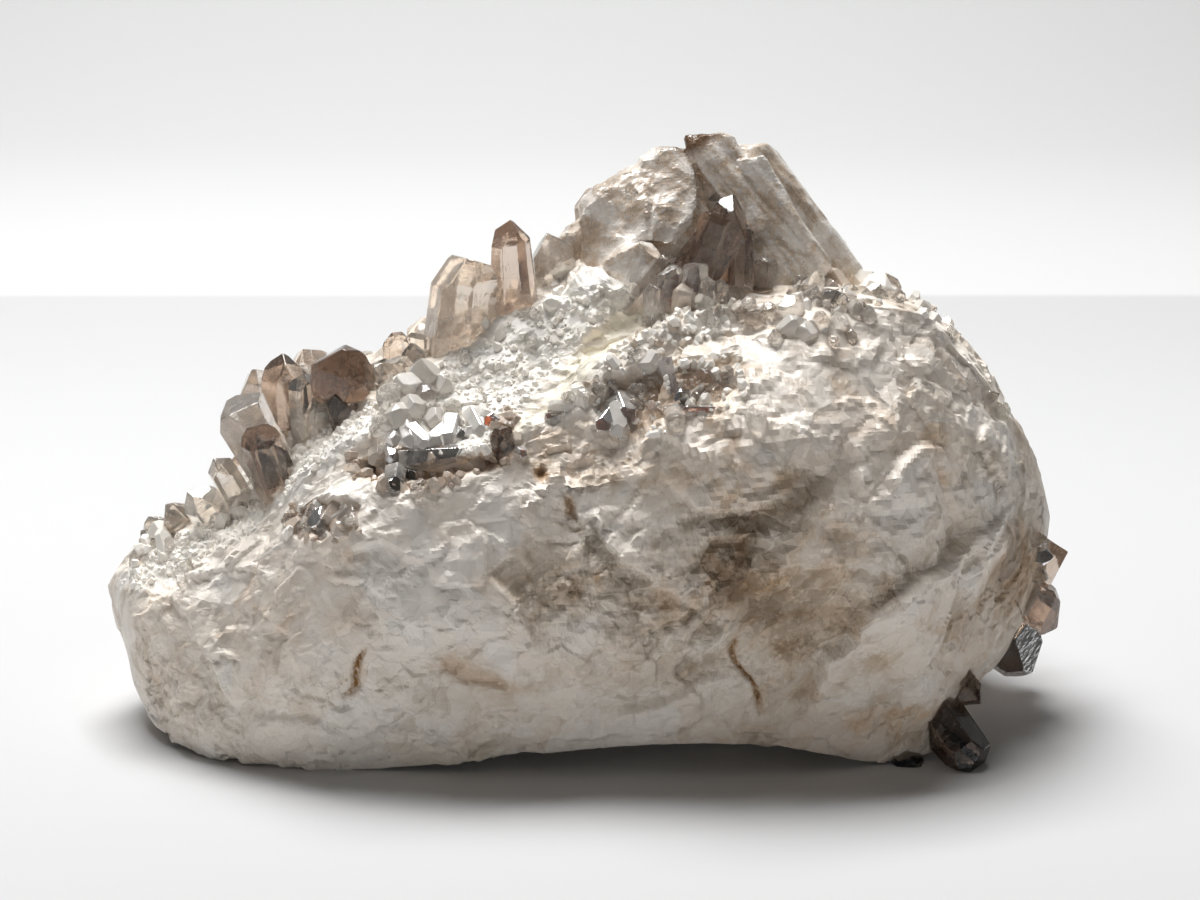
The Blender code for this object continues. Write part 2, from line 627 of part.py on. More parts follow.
def grown_group(name, look, crystals, seed):
    """Crystals that grew together, as one solid."""
    parts = []
    for number, (foot, tip, radius, roll, broken) in enumerate(crystals):
        parts.append(crystal(name, foot, tip, radius, roll, broken, look, seed + number))
    combine(parts[0], parts[1:], "UNION")
    return parts[0]


def surface_point(near, outward, stone):
    """The point and normal of the stone's skin that a line through the given point meets."""
    start = (Vector(near) + Vector(outward) * OUTSIDE) * MM
    hit, place, normal, _ = stone.ray_cast(start, -Vector(outward).normalized())
    return (place / MM, normal) if hit else (None, None)


def druse_crystals(stone):
    """Small crystals that stand on the matrix between two rails."""
    made = []
    for label, (low, high), (rail_a, rail_b), count, radius, seed in DRUSES:
        chance = random.Random(seed)
        for number in range(count):
            x = low + (high - low) * (number + chance.uniform(0.1, 0.9)) / count
            ends = [rail_values(RAILS[rail], np.array([x]))[0] for rail in (rail_a, rail_b)]
            mix = chance.uniform(0.1, 0.9)
            y, z = ends[0] * (1 - mix) + ends[1] * mix
            centre = Vector((x, 0.0, CORE_HEIGHT))
            place, normal = surface_point((x, y, z), (Vector((x, y, z)) - centre).normalized(), stone)
            if place is None:
                continue
            lean = Vector([chance.uniform(-0.5, 0.5) for _ in range(3)])
            size = radius * chance.uniform(0.7, 1.35)
            foot = place - normal * (0.6 * size)
            tip = place + (normal + lean).normalized() * size * chance.uniform(1.3, 2.2)
            roll = chance.uniform(0, 60)
            broken = chance.choice((0.0, 0.2))
            made.append(crystal(label, foot, tip, size, roll, broken, "milky", seed * 100 + number))
    return made


def crust_bed(name):
    """The low bed in the hollow that the crust's crystals stand on."""
    centre, half, deep = HOLLOWS[name]
    mesh = bmesh.new()
    bmesh.ops.create_icosphere(mesh, subdivisions=1, radius=1.1)
    bmesh.ops.scale(mesh, vec=(half[0] * 0.86, 3.2, half[2] * 0.8), verts=mesh.verts)
    bmesh.ops.translate(mesh, vec=Vector(centre) + Vector(INWARD) * deep * 0.8, verts=mesh.verts)
    return make_object("bed", mesh, "smoky_dark")


def crust(name):
    """The crust of small crystals that lines one hollow."""
    hollow, count, radius, aim, seed = CRUSTS[name]
    centre, half, deep = HOLLOWS[hollow]
    chance = random.Random(seed)
    parts = [crust_bed(hollow)]
    for number in range(count):
        spread = (number + 0.5) / count * 2 - 1
        x = centre[0] + spread * half[0] * 0.78
        z = centre[2] + chance.uniform(-0.4, 0.4) * half[2] * math.sqrt(1 - spread * spread)
        y = centre[1] + INWARD[1] * deep * 0.8
        lean = Vector([chance.uniform(-0.35, 0.35) for _ in range(3)])
        direction = (Vector(aim) + lean).normalized()
        size = radius * chance.uniform(0.85, 1.25)
        foot = Vector((x, y, z)) - direction * 0.5
        tip = foot + direction * size * chance.uniform(2.0, 2.7)
        roll = chance.uniform(0, 60)
        parts.append(crystal(name, foot, tip, size, roll, 0.0, "smoky_dark", seed + 7 * number))
    combine(parts[0], parts[1:], "UNION")
    parts[0].name = name
    return parts[0]


def back_group(name, stone):
    """A group of crystals on the hidden side, big ones first."""
    (x_low, x_high), (z_low, z_high), count, radius, length, seed = BACK_GROUPS[name]
    chance = random.Random(seed)
    crystals = []
    for number in range(count):
        x = x_low + (x_high - x_low) * (number + 0.5) / count + chance.uniform(-2, 2)
        z = z_low + (z_high - z_low) * ((number * 0.62) % 1.0) + chance.uniform(-2, 2)
        place, normal = surface_point((x, 20, z), (0, 1, 0.15), stone)
        if place is None:
            continue
        lean = Vector((chance.uniform(-0.35, 0.35), 0.1, chance.uniform(0.0, 0.7)))
        size = radius * chance.uniform(0.6, 1.1)
        direction = (normal + lean).normalized()
        foot = place - direction * 3
        tip = place + direction * length * chance.uniform(0.6, 1.1)
        crystals.append((foot, tip, size, chance.uniform(0, 60), chance.choice((0.0, 0.0, 0.15))))
    return grown_group(name, "smoky_mid", crystals, seed * 10)


def puffed_copy(thing, growth):
    """A copy, larger all round by the growth in mm, to cut its neighbours with."""
    mesh = bmesh.new()
    mesh.from_mesh(thing.data)
    mesh.normal_update()
    shifts = [(vert, vert.normal.copy()) for vert in mesh.verts]
    for vert, normal in shifts:
        vert.co += normal * (growth * MM)
    data = bpy.data.meshes.new("cutter")
    mesh.to_mesh(data)
    mesh.free()
    return link("cutter", data)


def box_below(name, top):
    """A large block whose upper face lies at the given height, in mm."""
    mesh = bmesh.new()
    bmesh.ops.create_cube(mesh, size=BLOCK)
    bmesh.ops.translate(mesh, vec=(0, 0, top - BLOCK / 2), verts=mesh.verts)
    return make_object(name, mesh, "milky")


def build_matrix():
    """The matrix with its rest facet and fused small crystals."""
    fine = stone_mesh()
    faces = len(fine.faces)
    stone = make_object("matrix", fine, "milky")
    fewer = stone.modifiers.new("Decimate", "DECIMATE")
    fewer.ratio = MATRIX_TRIANGLES / faces
    apply_modifiers(stone)
    combine(stone, [box_below("cutter", 0.0)], "DIFFERENCE")
    combine(stone, druse_crystals(stone), "UNION")
    stone = separate(stone, True)[0]
    clean(stone)
    return stone


def recentre(things):
    """Puts the middle of the whole box at x = 0 and y = 0, with the lowest point at z = 0."""
    places = np.concatenate([np.array([v.co for v in thing.data.vertices]) for thing in things])
    middle = (places.min(axis=0) + places.max(axis=0)) / 2
    shift = Vector((-middle[0], -middle[1], -places.min(axis=0)[2]))
    for thing in things:
        thing.data.transform(Matrix.Translation(shift))
    print("shift in mm:", [round(value / MM, 3) for value in shift])


def boxes_meet(one, other):
    """True where the boxes around two things come closer than the gap."""
    low_a, high_a = box_of(one)
    low_b, high_b = box_of(other)
    reach = 2 * GAP * MM
    return bool(np.all(low_a - reach < high_b) and np.all(low_b - reach < high_a))


def box_of(thing):
    """Lowest and highest corner of the thing."""
    places = np.array([v.co for v in thing.data.vertices])
    return places.min(axis=0), places.max(axis=0)


def trim(part, neighbours, one_only):
    """Cuts a group at the ground and where it meets what it grows on."""
    combine(part, [box_below("cutter", 0.0)], "DIFFERENCE")
    for other in neighbours:
        if len(part.data.vertices) and boxes_meet(part, other):
            # The larger copy folds over itself in creases, so the plain copy is cut out first
            combine(part, [puffed_copy(other, 0.0), puffed_copy(other, GAP)], "DIFFERENCE", "MANIFOLD")
    pieces = separate(part, one_only)
    for piece in pieces:
        clean(piece)
    return pieces


def build():
    for thing in list(bpy.data.objects):
        remove(thing)
    done = [build_matrix()]
    for number, (name, (look, crystals)) in enumerate(GROUPS.items()):
        done += trim(grown_group(name, look, crystals, 1000 + 50 * number), done, False)
    for name in BACK_GROUPS:
        done += trim(back_group(name, done[0]), done, False)
    for name in CRUSTS:
        done += trim(crust(name), done, True)
    recentre(done)
    for part in done:
        part.data.update()
        print(part.name, len(part.data.polygons))


build()
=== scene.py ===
# Smoky quartz cluster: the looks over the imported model.
# Shapes are worked out in millimetres and become metres when a piece is made.

import math
import random
from itertools import combinations

import bmesh
import bpy
import numpy as np
from mathutils import Matrix, Vector
from mathutils.bvhtree import BVHTree


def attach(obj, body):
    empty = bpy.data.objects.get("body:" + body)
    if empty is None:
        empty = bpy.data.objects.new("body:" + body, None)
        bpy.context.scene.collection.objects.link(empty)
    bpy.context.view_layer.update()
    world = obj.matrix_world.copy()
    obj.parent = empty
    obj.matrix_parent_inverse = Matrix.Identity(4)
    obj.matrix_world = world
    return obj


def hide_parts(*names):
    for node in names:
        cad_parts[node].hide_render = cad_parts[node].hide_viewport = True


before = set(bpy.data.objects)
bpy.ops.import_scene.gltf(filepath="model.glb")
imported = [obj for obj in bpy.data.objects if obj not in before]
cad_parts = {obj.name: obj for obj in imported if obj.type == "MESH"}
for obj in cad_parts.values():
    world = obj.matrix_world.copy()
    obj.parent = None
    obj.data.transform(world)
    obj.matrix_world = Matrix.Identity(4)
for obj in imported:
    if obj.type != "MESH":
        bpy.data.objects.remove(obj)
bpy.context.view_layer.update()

mm = 0.001
recentre = np.array([-0.684, -6.423, 0.0])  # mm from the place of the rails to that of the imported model
facePlane = -36.0  # y of the plane in which the places on the broken face are given, as the camera sees them
quartzIor = 1.544

# The studio in mm and degrees; its camera is used first, to tell what it sees of the stone
studio = {
    "floorNear": -900.0,
    "bend": 620.0,
    "bendRadius": 300.0,
    "wallTop": 1500.0,
    "halfWidth": 1400.0,
    "sheetColours": ((0.63, 0.63, 0.635), (0.54, 0.54, 0.54), (0.64, 0.645, 0.64)),  # near, the painted shade band up to 340 mm behind, beyond
    "worldColour": (1.0, 0.99, 0.97),
    "worldStrength": 0.062,
    "lowFront": ((-250, -1150, 190), (0, 0, 40), 1000, 240, 0.9),  # place, aim, width, height, watts
    "overhead": ((-130, 310, 950), (0, 0, 20), 600, 460, 15.6),
    "cameraPlace": (2.4, -459.4, 151.9),
    "cameraTilt": 76.4,
    "cameraLens": 90.0,
}

# Random numbers that stay the same from run to run


def cellNumber(cells, salt):
    # a number from 0 to 1 for each cell of a grid
    mixed = cells[..., 0] * 73856093 ^ cells[..., 1] * 19349663 ^ cells[..., 2] * 83492791 ^ salt * 1299721
    mixed = ((mixed & 0xFFFFFFFF) ^ ((mixed & 0xFFFFFFFF) >> 13)) * 1274126177 & 0xFFFFFFFF
    mixed = (mixed ^ (mixed >> 15)) * 668265263 & 0xFFFFFFFF
    return ((mixed ^ (mixed >> 16)) & 0xFFFFFF) / 0xFFFFFF


def softNoise(points, salt):
    # smooth noise from -1 to 1, waves about one unit long
    base = np.floor(points).astype(np.int64)
    part = points - base
    part = part * part * (3 - 2 * part)
    total = np.zeros(len(points))
    for corner in np.ndindex(2, 2, 2):
        weight = np.prod(np.where(corner, part, 1 - part), axis=1)
        total += weight * cellNumber(base + corner, salt)
    return total * 2 - 1


def layeredNoise(points, salt, layers):
    # soft noise with finer and weaker noise over it
    total = np.zeros(len(points))
    weight, whole = 1.0, 0.0
    for layer in range(layers):
        total += weight * softNoise(points * 2.03 ** layer + 7.1 * layer, salt + layer)
        whole += weight
        weight *= 0.5
    return total / whole


def nearbyCells(points, size, salt, bends, stray):
    # the 27 cells around every point, one after the other: the way from the centre, the lean and a number
    scaled = points / size
    wander = np.stack([softNoise(scaled * bends, salt + 20 + axis) for axis in range(3)], axis=1)
    scaled = scaled + wander * stray
    base = np.floor(scaled).astype(np.int64)
    for step in np.ndindex(3, 3, 3):
        cells = base + step - 1
        centre = cells + np.stack([cellNumber(cells, salt + axis) for axis in range(3)], axis=1)
        lean = np.stack([cellNumber(cells, salt + 10 + axis) * 2 - 1 for axis in range(3)], axis=1)
        yield scaled - centre, lean, cellNumber(cells, salt + 5)


def brokenCells(points, size, lift, tilt, salt, blend=0.22):
    # height of flat tilted faces of scattered cells, how near the next cell is, and a number per cell
    near = np.full((len(points), 2), 1e9)
    height = np.zeros((len(points), 2))
    chosen = np.zeros(len(points))
    for away, lean, number in nearbyCells(points, size, salt, 1.7, 0.16):
        gap = np.linalg.norm(away, axis=1)
        value = lift * (number * 2 - 1) + tilt * np.sum(away * lean, axis=1)
        first = gap < near[:, 0]
        second = ~first & (gap < near[:, 1])
        near[:, 1] = np.where(first, near[:, 0], np.where(second, gap, near[:, 1]))
        height[:, 1] = np.where(first, height[:, 0], np.where(second, value, height[:, 1]))
        near[:, 0] = np.where(first, gap, near[:, 0])
        height[:, 0] = np.where(first, value, height[:, 0])
        chosen = np.where(first, number, chosen)
    border = near[:, 1] - near[:, 0]
    mix = 0.5 * np.clip(1 - border / blend, 0, 1)
    return height[:, 0] * (1 - mix) + height[:, 1] * mix, border, chosen


def scallops(points, size, lift, tilt, bowl, salt):
    # shell-shaped hollows that meet in sharp ridges: height, how near a ridge is, and a number per shell
    low = np.full((len(points), 2), 1e9)
    chosen = np.zeros(len(points))
    for away, lean, number in nearbyCells(points, size, salt, 2.3, 0.12):
        value = lift * (number * 2 - 1) + tilt * np.sum(away * lean, axis=1)
        value += bowl * np.sum(away * away, axis=1)
        first = value < low[:, 0]
        low[:, 1] = np.where(first, low[:, 0], np.minimum(low[:, 1], value))
        low[:, 0] = np.where(first, value, low[:, 0])
        chosen = np.where(first, number, chosen)
    return low[:, 0], (low[:, 1] - low[:, 0]) / bowl, chosen


def smoothStep(low, high, values):
    # 0 at low, 1 at high and an even curve between
    t = np.clip((values - low) / (high - low), 0, 1)
    return t * t * (3 - 2 * t)


# The massive quartz: rails from the left tip to the right tip, each point is x, y, z in mm

stone = {
    "leftTip": (-75.0, -5.0, 20.0),
    "rightTip": (74.0, 0.0, 30.0),
    "rings": 430,
    "frontSteps": 34,  # mesh steps from one rail to the next on the broken face
    "backSteps": 16,
    "soleSteps": 9,
    "triangles": 196000,
    "evenRings": 0.65,  # 1 for rings at even spaces, 0 for rings that gather at the tips
    # how sharply the skin turns at a rail, 0 for round and 1 for an edge
    "creases": {"front lip": 0.7, "brow": 0.55, "front ridge": 0.85, "groove": 0.5, "crest": 0.4,
                "back top": 0.3},
    "rails": {
        "front lip": [(-73.5, -7, 13), (-70, -14, 6), (-64, -23, 1.5), (-57, -30, 0), (-48, -34, 0),
                      (-34, -35, 0), (-26, -35.5, 0.8), (-12, -36, 2.6), (4, -36, 4.3), (16, -36, 5),
                      (26, -35.5, 4.2), (36, -35, 2.4), (44, -33, 0.2), (52, -30, 0.8), (58, -22, 5),
                      (64, -15, 9.6), (69, -10.5, 16), (72, -6.5, 20.6)],
        "low belly": [(-73.5, -9, 17), (-70, -18, 13), (-63, -27, 9.5), (-56, -34, 8.3), (-48, -38, 8.9),
                      (-41, -40, 10.4), (-27, -41, 13), (0, -40, 13), (23, -39.5, 13.9), (34, -38.5, 13),
                      (43, -37, 11.5), (51, -33, 10), (58, -25, 13.7), (64, -19, 17), (69, -13, 21.6),
                      (72, -8, 24.2)],
        "belly": [(-73, -10, 21.5), (-69, -19, 21), (-62, -28, 18.2), (-55, -35, 18), (-48, -39, 20),
                  (-41, -41, 22.2), (-34, -42, 25.5), (-18, -43, 27.3), (13, -43, 29), (33, -42, 28.6),
                  (43, -40, 27.7), (51, -35, 27.7), (57, -28, 28.8), (63, -21, 30.2), (68, -14, 31.5),
                  (72, -8, 30.7)],
        "brow": [(-73, -8, 23.1), (-69, -15, 24.6), (-62, -23, 24.5), (-55, -30, 25), (-48, -34, 28.5),
                 (-42, -36, 32.9), (-35, -37, 37.7), (-27, -37, 40.7), (-18, -37, 42.2), (2, -38, 45.5),
                 (23, -38, 50), (42, -33, 51.7), (51, -29, 50.8), (57, -23, 49.4), (63, -18, 45.1),
                 (68, -12, 40.5), (72, -7, 36)],
        "front ridge": [(-73, -6, 23.2), (-69, -11, 26.3), (-63, -16, 28.4), (-56, -20, 30.1),
                        (-49, -24, 34.7), (-42, -25, 44), (-35, -26, 49.6), (-28, -28, 51), (-21, -31, 49.5),
                        (-12, -30, 52), (-4, -26, 54.5), (2.5, -24, 58.5), (8.5, -22, 63), (16, -19, 67),
                        (30, -17, 67.5), (42, -17, 67), (50, -16, 65.5), (57, -14, 60), (64, -10, 51.5),
                        (69, -7, 44), (72, -4, 37.5)],
        "groove": [(-73, -5, 23.5), (-69, -8, 27), (-62, -11, 30), (-55, -14, 32.5), (-49, -16, 38),
                   (-42, -18, 46.5), (-35, -20, 51.5), (-28, -23, 54.5), (-20, -24, 55.5), (-12, -23, 57.5),
                   (-5, -19, 58), (2.5, -16.5, 59.5), (8.5, -15, 63), (16, -13, 66.5), (24, -12, 67.2),
                   (42, -12, 67.5), (50, -11, 66), (57, -10, 61), (64, -7, 52), (69, -5, 44.5),
                   (72, -3, 37.6)],
        "crest": [(-73, -3, 23.5), (-69, -4, 27), (-62, -5, 31), (-55, -7, 34.5), (-49, -8, 41),
                  (-42, -9, 48.5), (-35, -11, 53), (-28, -14, 57), (-19, -13, 61.4), (-8, -10, 64.6),
                  (2, -8, 67.3), (13, -6, 68), (42, -5, 68), (50, -5, 66.5), (57, -5, 61.5), (64, -4, 52.3),
                  (69, -3, 44.7), (72, -1.5, 37.8)],
        "back top": [(-73, -1, 22.5), (-69, 3, 25), (-62, 6, 28.5), (-49, 6, 39), (-35, 5, 51),
                     (-19, 5, 60), (2, 12, 66), (18, 16, 68), (36, 14, 67), (46, 11, 65), (54, 8, 60),
                     (62, 5, 52), (68, 3, 44), (72, 1.5, 37)],
        "high back": [(-73, 0, 21), (-69, 8, 21), (-62, 15, 23), (-48, 19, 32), (-24, 24, 47), (6, 32, 54),
                      (34, 30, 53), (54, 21, 46), (68, 9, 37), (72, 4, 34)],
        "back": [(-73, 0, 19.5), (-69, 10, 16), (-62, 20, 15), (-42, 33, 20), (-12, 41, 26), (22, 42, 29),
                 (48, 31, 27), (66, 14, 26), (71, 6, 28)],
        "heel": [(-73, -1, 18), (-69, 7, 11), (-62, 18, 6), (-40, 33, 5), (4, 41, 7), (40, 34, 6.5),
                 (58, 18, 10), (66, 10, 17), (71, 4, 24)],
        "back sole": [(-73.5, -3, 14), (-70, 0, 6.5), (-63, 4, 1.8), (-52, 14, 0.6), (-40, 20, -0.9),
                      (-24, 25, 0.8), (2, 29, 0.4), (14, 28, -1.6), (28, 25, 0.6), (38, 21, 0.2),
                      (48, 14, 1.6), (56, 6, 4.4), (63, 2, 9.5), (69, 0, 17.5), (72, -1, 23)],
        "sole": [(-73.5, -4, 13.5), (-70, -4, 5.8), (-63, -3, 1.4), (-52, 1, -0.4), (-42, 4, -1.8),
                 (-30, 6, -0.4), (-16, 7, 1.8), (4, 8, 2.8), (20, 7, 1.2), (34, 5, -0.8), (42, 3, -0.6),
                 (50, 0, 1.2), (56, -2, 3.8), (63, -3, 9), (69, -3, 16.5), (72, -3, 22)],
        "front sole": [(-73.5, -5, 13.2), (-70, -7, 5.8), (-63, -9, 0.8), (-52, -12, -0.8), (-42, -14, -1.4),
                       (-30, -14, 0.4), (-12, -15, 2.2), (4, -15, 3), (20, -15, 2.2), (34, -15, -0.2),
                       (42, -15, -1.6), (50, -14, 0), (58, -10, 4), (64, -7, 9.3), (69, -5, 16),
                       (72, -4, 21.5)],
    },
}

# Steps of the broken face: the line as x, z in mm, and how far its left side stands out
ledges = [
    ([(37.5, 51), (39.5, 48.5), (40.5, 45), (41, 40)], 1.6),
    ([(44, 42), (45.5, 44), (47, 47.5), (50, 49.5), (53.5, 48)], -1.6),
    ([(33, 8), (34.5, 14.5), (36.5, 19), (39.5, 20.5), (41.5, 26), (46, 28.5), (55, 32.5), (66, 36)], -2.6),
    ([(-15, 38), (-13.5, 32.5), (-9, 28.5), (-7, 22)], -1.5),
    ([(1, 41), (6, 34), (11, 30.5), (17, 28.5)], 1.5),
    ([(1, 6), (5.5, 10.5), (12, 12), (18, 15.5), (23, 16.5)], -1.6),
    ([(53, 65), (56.5, 58), (59.5, 53), (63.5, 49), (68, 47)], -1.6),
    ([(-64, 25), (-58.5, 19), (-55.5, 13.5), (-54, 9)], 1.2),
    ([(-51, 7), (-46, 8.8), (-38.5, 8.5), (-33, 6)], -1.0),
    ([(-36, 34), (-30, 36), (-24, 34), (-19, 36)], 1.2),
    ([(10, 47), (16, 42), (24, 41), (31, 44)], 1.2),
]

# Hairline cracks with rusty stain, x, z in mm
cracks = [
    [(-32.5, 22), (-32.5, 19), (-33, 15.5), (-36, 13)],
    [(22, 23), (22.5, 20), (25, 13.5), (26.5, 8)],
]

# Outlines on the broken face: x and z in mm where the camera sees them on the plane of the face
patches = {
    "pocket": [(-34.7, 48.3), (-30.7, 49.6), (-25.9, 49.8), (-21.4, 48.9), (-16.5, 49.2), (-13.6,
        50.1), (-12.7, 53.2), (-11.3, 55.7), (-9.6, 54.5), (-10.1, 50.2), (-11.0, 47.4), (-15.1, 45.9),
        (-19.4, 44.4), (-24.1, 42.9), (-28.9, 43.3), (-32.8, 45.0)],
    "vug": [(1.5, 56.9), (3.0, 59.6), (8.2, 61.6), (12.8, 61.9), (16.8, 63.4), (22.3, 64.0), (24.3,
        61.3), (23.4, 57.6), (19.8, 55.4), (15.7, 53.9), (12.6, 51.9), (8.2, 51.3), (3.9, 51.9), (1.5,
        54.2)],
    "nest": [(-44.2, 39.7), (-42.5, 41.5), (-38.4, 42.1), (-34.1, 41.7), (-32.3, 39.9), (-33.1, 36.8),
        (-37.8, 35.8), (-42.5, 36.2)],
    "olive dent": [(-21.8, 17.6), (-19.4, 18.5), (-16.8, 16.9), (-12.4, 15.7), (-10.6, 14.1), (-11.5,
        12.3), (-15.4, 12.6), (-19.1, 13.5), (-21.3, 14.8)],
    "hole a": [(-7.2, 47.1), (-6.3, 47.7), (-5.6, 46.5), (-6.2, 45.0), (-7.1, 45.3)],
    "hole b": [(-3.3, 43.2), (-2.4, 42.9), (-2.0, 41.2), (-1.5, 39.3), (-2.6, 39.6), (-3.1, 41.2)],
    "brown slot": [(18.2, 36.2), (21.1, 36.5), (24.0, 35.8), (23.5, 34.4), (20.3, 34.3), (18.4, 34.9)],
    "mid slot": [(17.1, 32.9), (19.4, 33.5), (20.3, 31.4), (18.8, 28.3), (17.4, 29.2)],
    "band": [(-30.6, 52.7), (-28.5, 61.0), (-20.6, 65.0), (-12.0, 69.0), (-3.3, 71.9), (2.4, 73.4),
        (8.1, 73.1), (4.1, 69.0), (-1.2, 65.0), (-5.5, 61.0), (-9.2, 55.7), (-12.1, 51.0), (-16.5,
        49.2), (-21.4, 49.5), (-25.9, 50.1)],
    "band groove": [(-11.4, 50.7), (-6.3, 57.6), (-1.2, 63.6), (3.8, 68.0), (8.1, 70.9), (10.3, 69.9),
        (6.0, 65.0), (1.0, 59.9), (-2.7, 56.6), (-7.7, 52.5)],
    "second crest": [(-5.6, 55.7), (-1.2, 59.9), (2.4, 62.5), (8.2, 67.2), (15.3, 71.6), (21.8, 71.6),
        (18.9, 66.5), (13.9, 64.0), (8.2, 62.5), (3.0, 59.9), (0.2, 56.6), (-3.4, 54.2)],
    "left band": [(-68.0, 29.5), (-62.0, 34.7), (-55.3, 37.7), (-47.8, 43.8), (-42.6, 49.5), (-36.7,
        53.2), (-29.4, 56.9), (-28.6, 53.2), (-35.4, 49.5), (-41.3, 45.0), (-45.8, 39.7), (-51.4,
        35.2), (-57.7, 32.9), (-65.2, 28.3)],
    "right crest": [(28.2, 71.6), (31.0, 75.2), (42.5, 73.8), (51.2, 72.3), (56.3, 67.2), (55.4, 65.0),
        (45.5, 68.7), (38.4, 67.2), (31.2, 65.8)],
}

# How deep each hollow patch lies and how wide its walls are, in mm
hollows = {
    "pocket": (4.6, 2.2),
    "vug": (2.2, 2.2),
    "nest": (3.0, 1.6),
    "olive dent": (1.8, 2.0),
    "hole a": (2.4, 0.8),
    "hole b": (2.0, 0.8),
    "brown slot": (1.3, 1.0),
    "mid slot": (1.0, 1.2),
}
inward = np.array([0.0, 0.93, -0.25])  # the way in which they are pushed in

breakage = {
    "streakTurn": 24,  # degrees that the plates of the broken face run up to the right
    "streakShort": 0.62,  # their markings are this much shorter along the streaks
    "ledge": (0.65, 0.4, 8.0),  # share of its height that a step rises, width of its edge, reach
    "ledgePaintedLightAndShade": (0.26, 0.5, 5.0),  # the same for the painted light on its raised side and painted shade at its foot
    "ledgeLine": (0.8, 0.5, 0.7),  # the pale line on its edge: strength, place and half width
    "crack": (1.0, 0.35),  # depth and half width
    "crackRust": (1.3, 0.45),  # strength and half width
    "wander": [(4.5, 0.9), (1.6, 0.45)],  # how far lines stray from their course, wave length and reach
    "faces": (24.0, 0.7, 2.6, 0.10),  # size, lift and tilt of the biggest broken faces, and their shades
    # size, lift, tilt and bowl of shells, then how pale their ridges are and their shades
    "shells": [(15.0, 1.1, 0.9, 2.0, 0.5, 0.12), (7.0, 0.42, 0.4, 0.9, 0.4, 0.10),
               (3.2, 0.2, 0.2, 0.42, 0.3, 0.06)],
    # wave length, plates per wave and step height, then how pale their rims are and their shades
    "plates": [(20.0, 1.7, 0.60, 0.55, 0.20), (9.0, 1.3, 0.30, 0.3, 0.14)],
    "grains": [(3.4, 0.08, 0.75), (1.6, 0.04, 0.40)],  # size, lift and tilt
    "grainMarks": (0.10, 0.25),  # shades, and how pale the lines between grains are
    "backRough": 0.9,
}

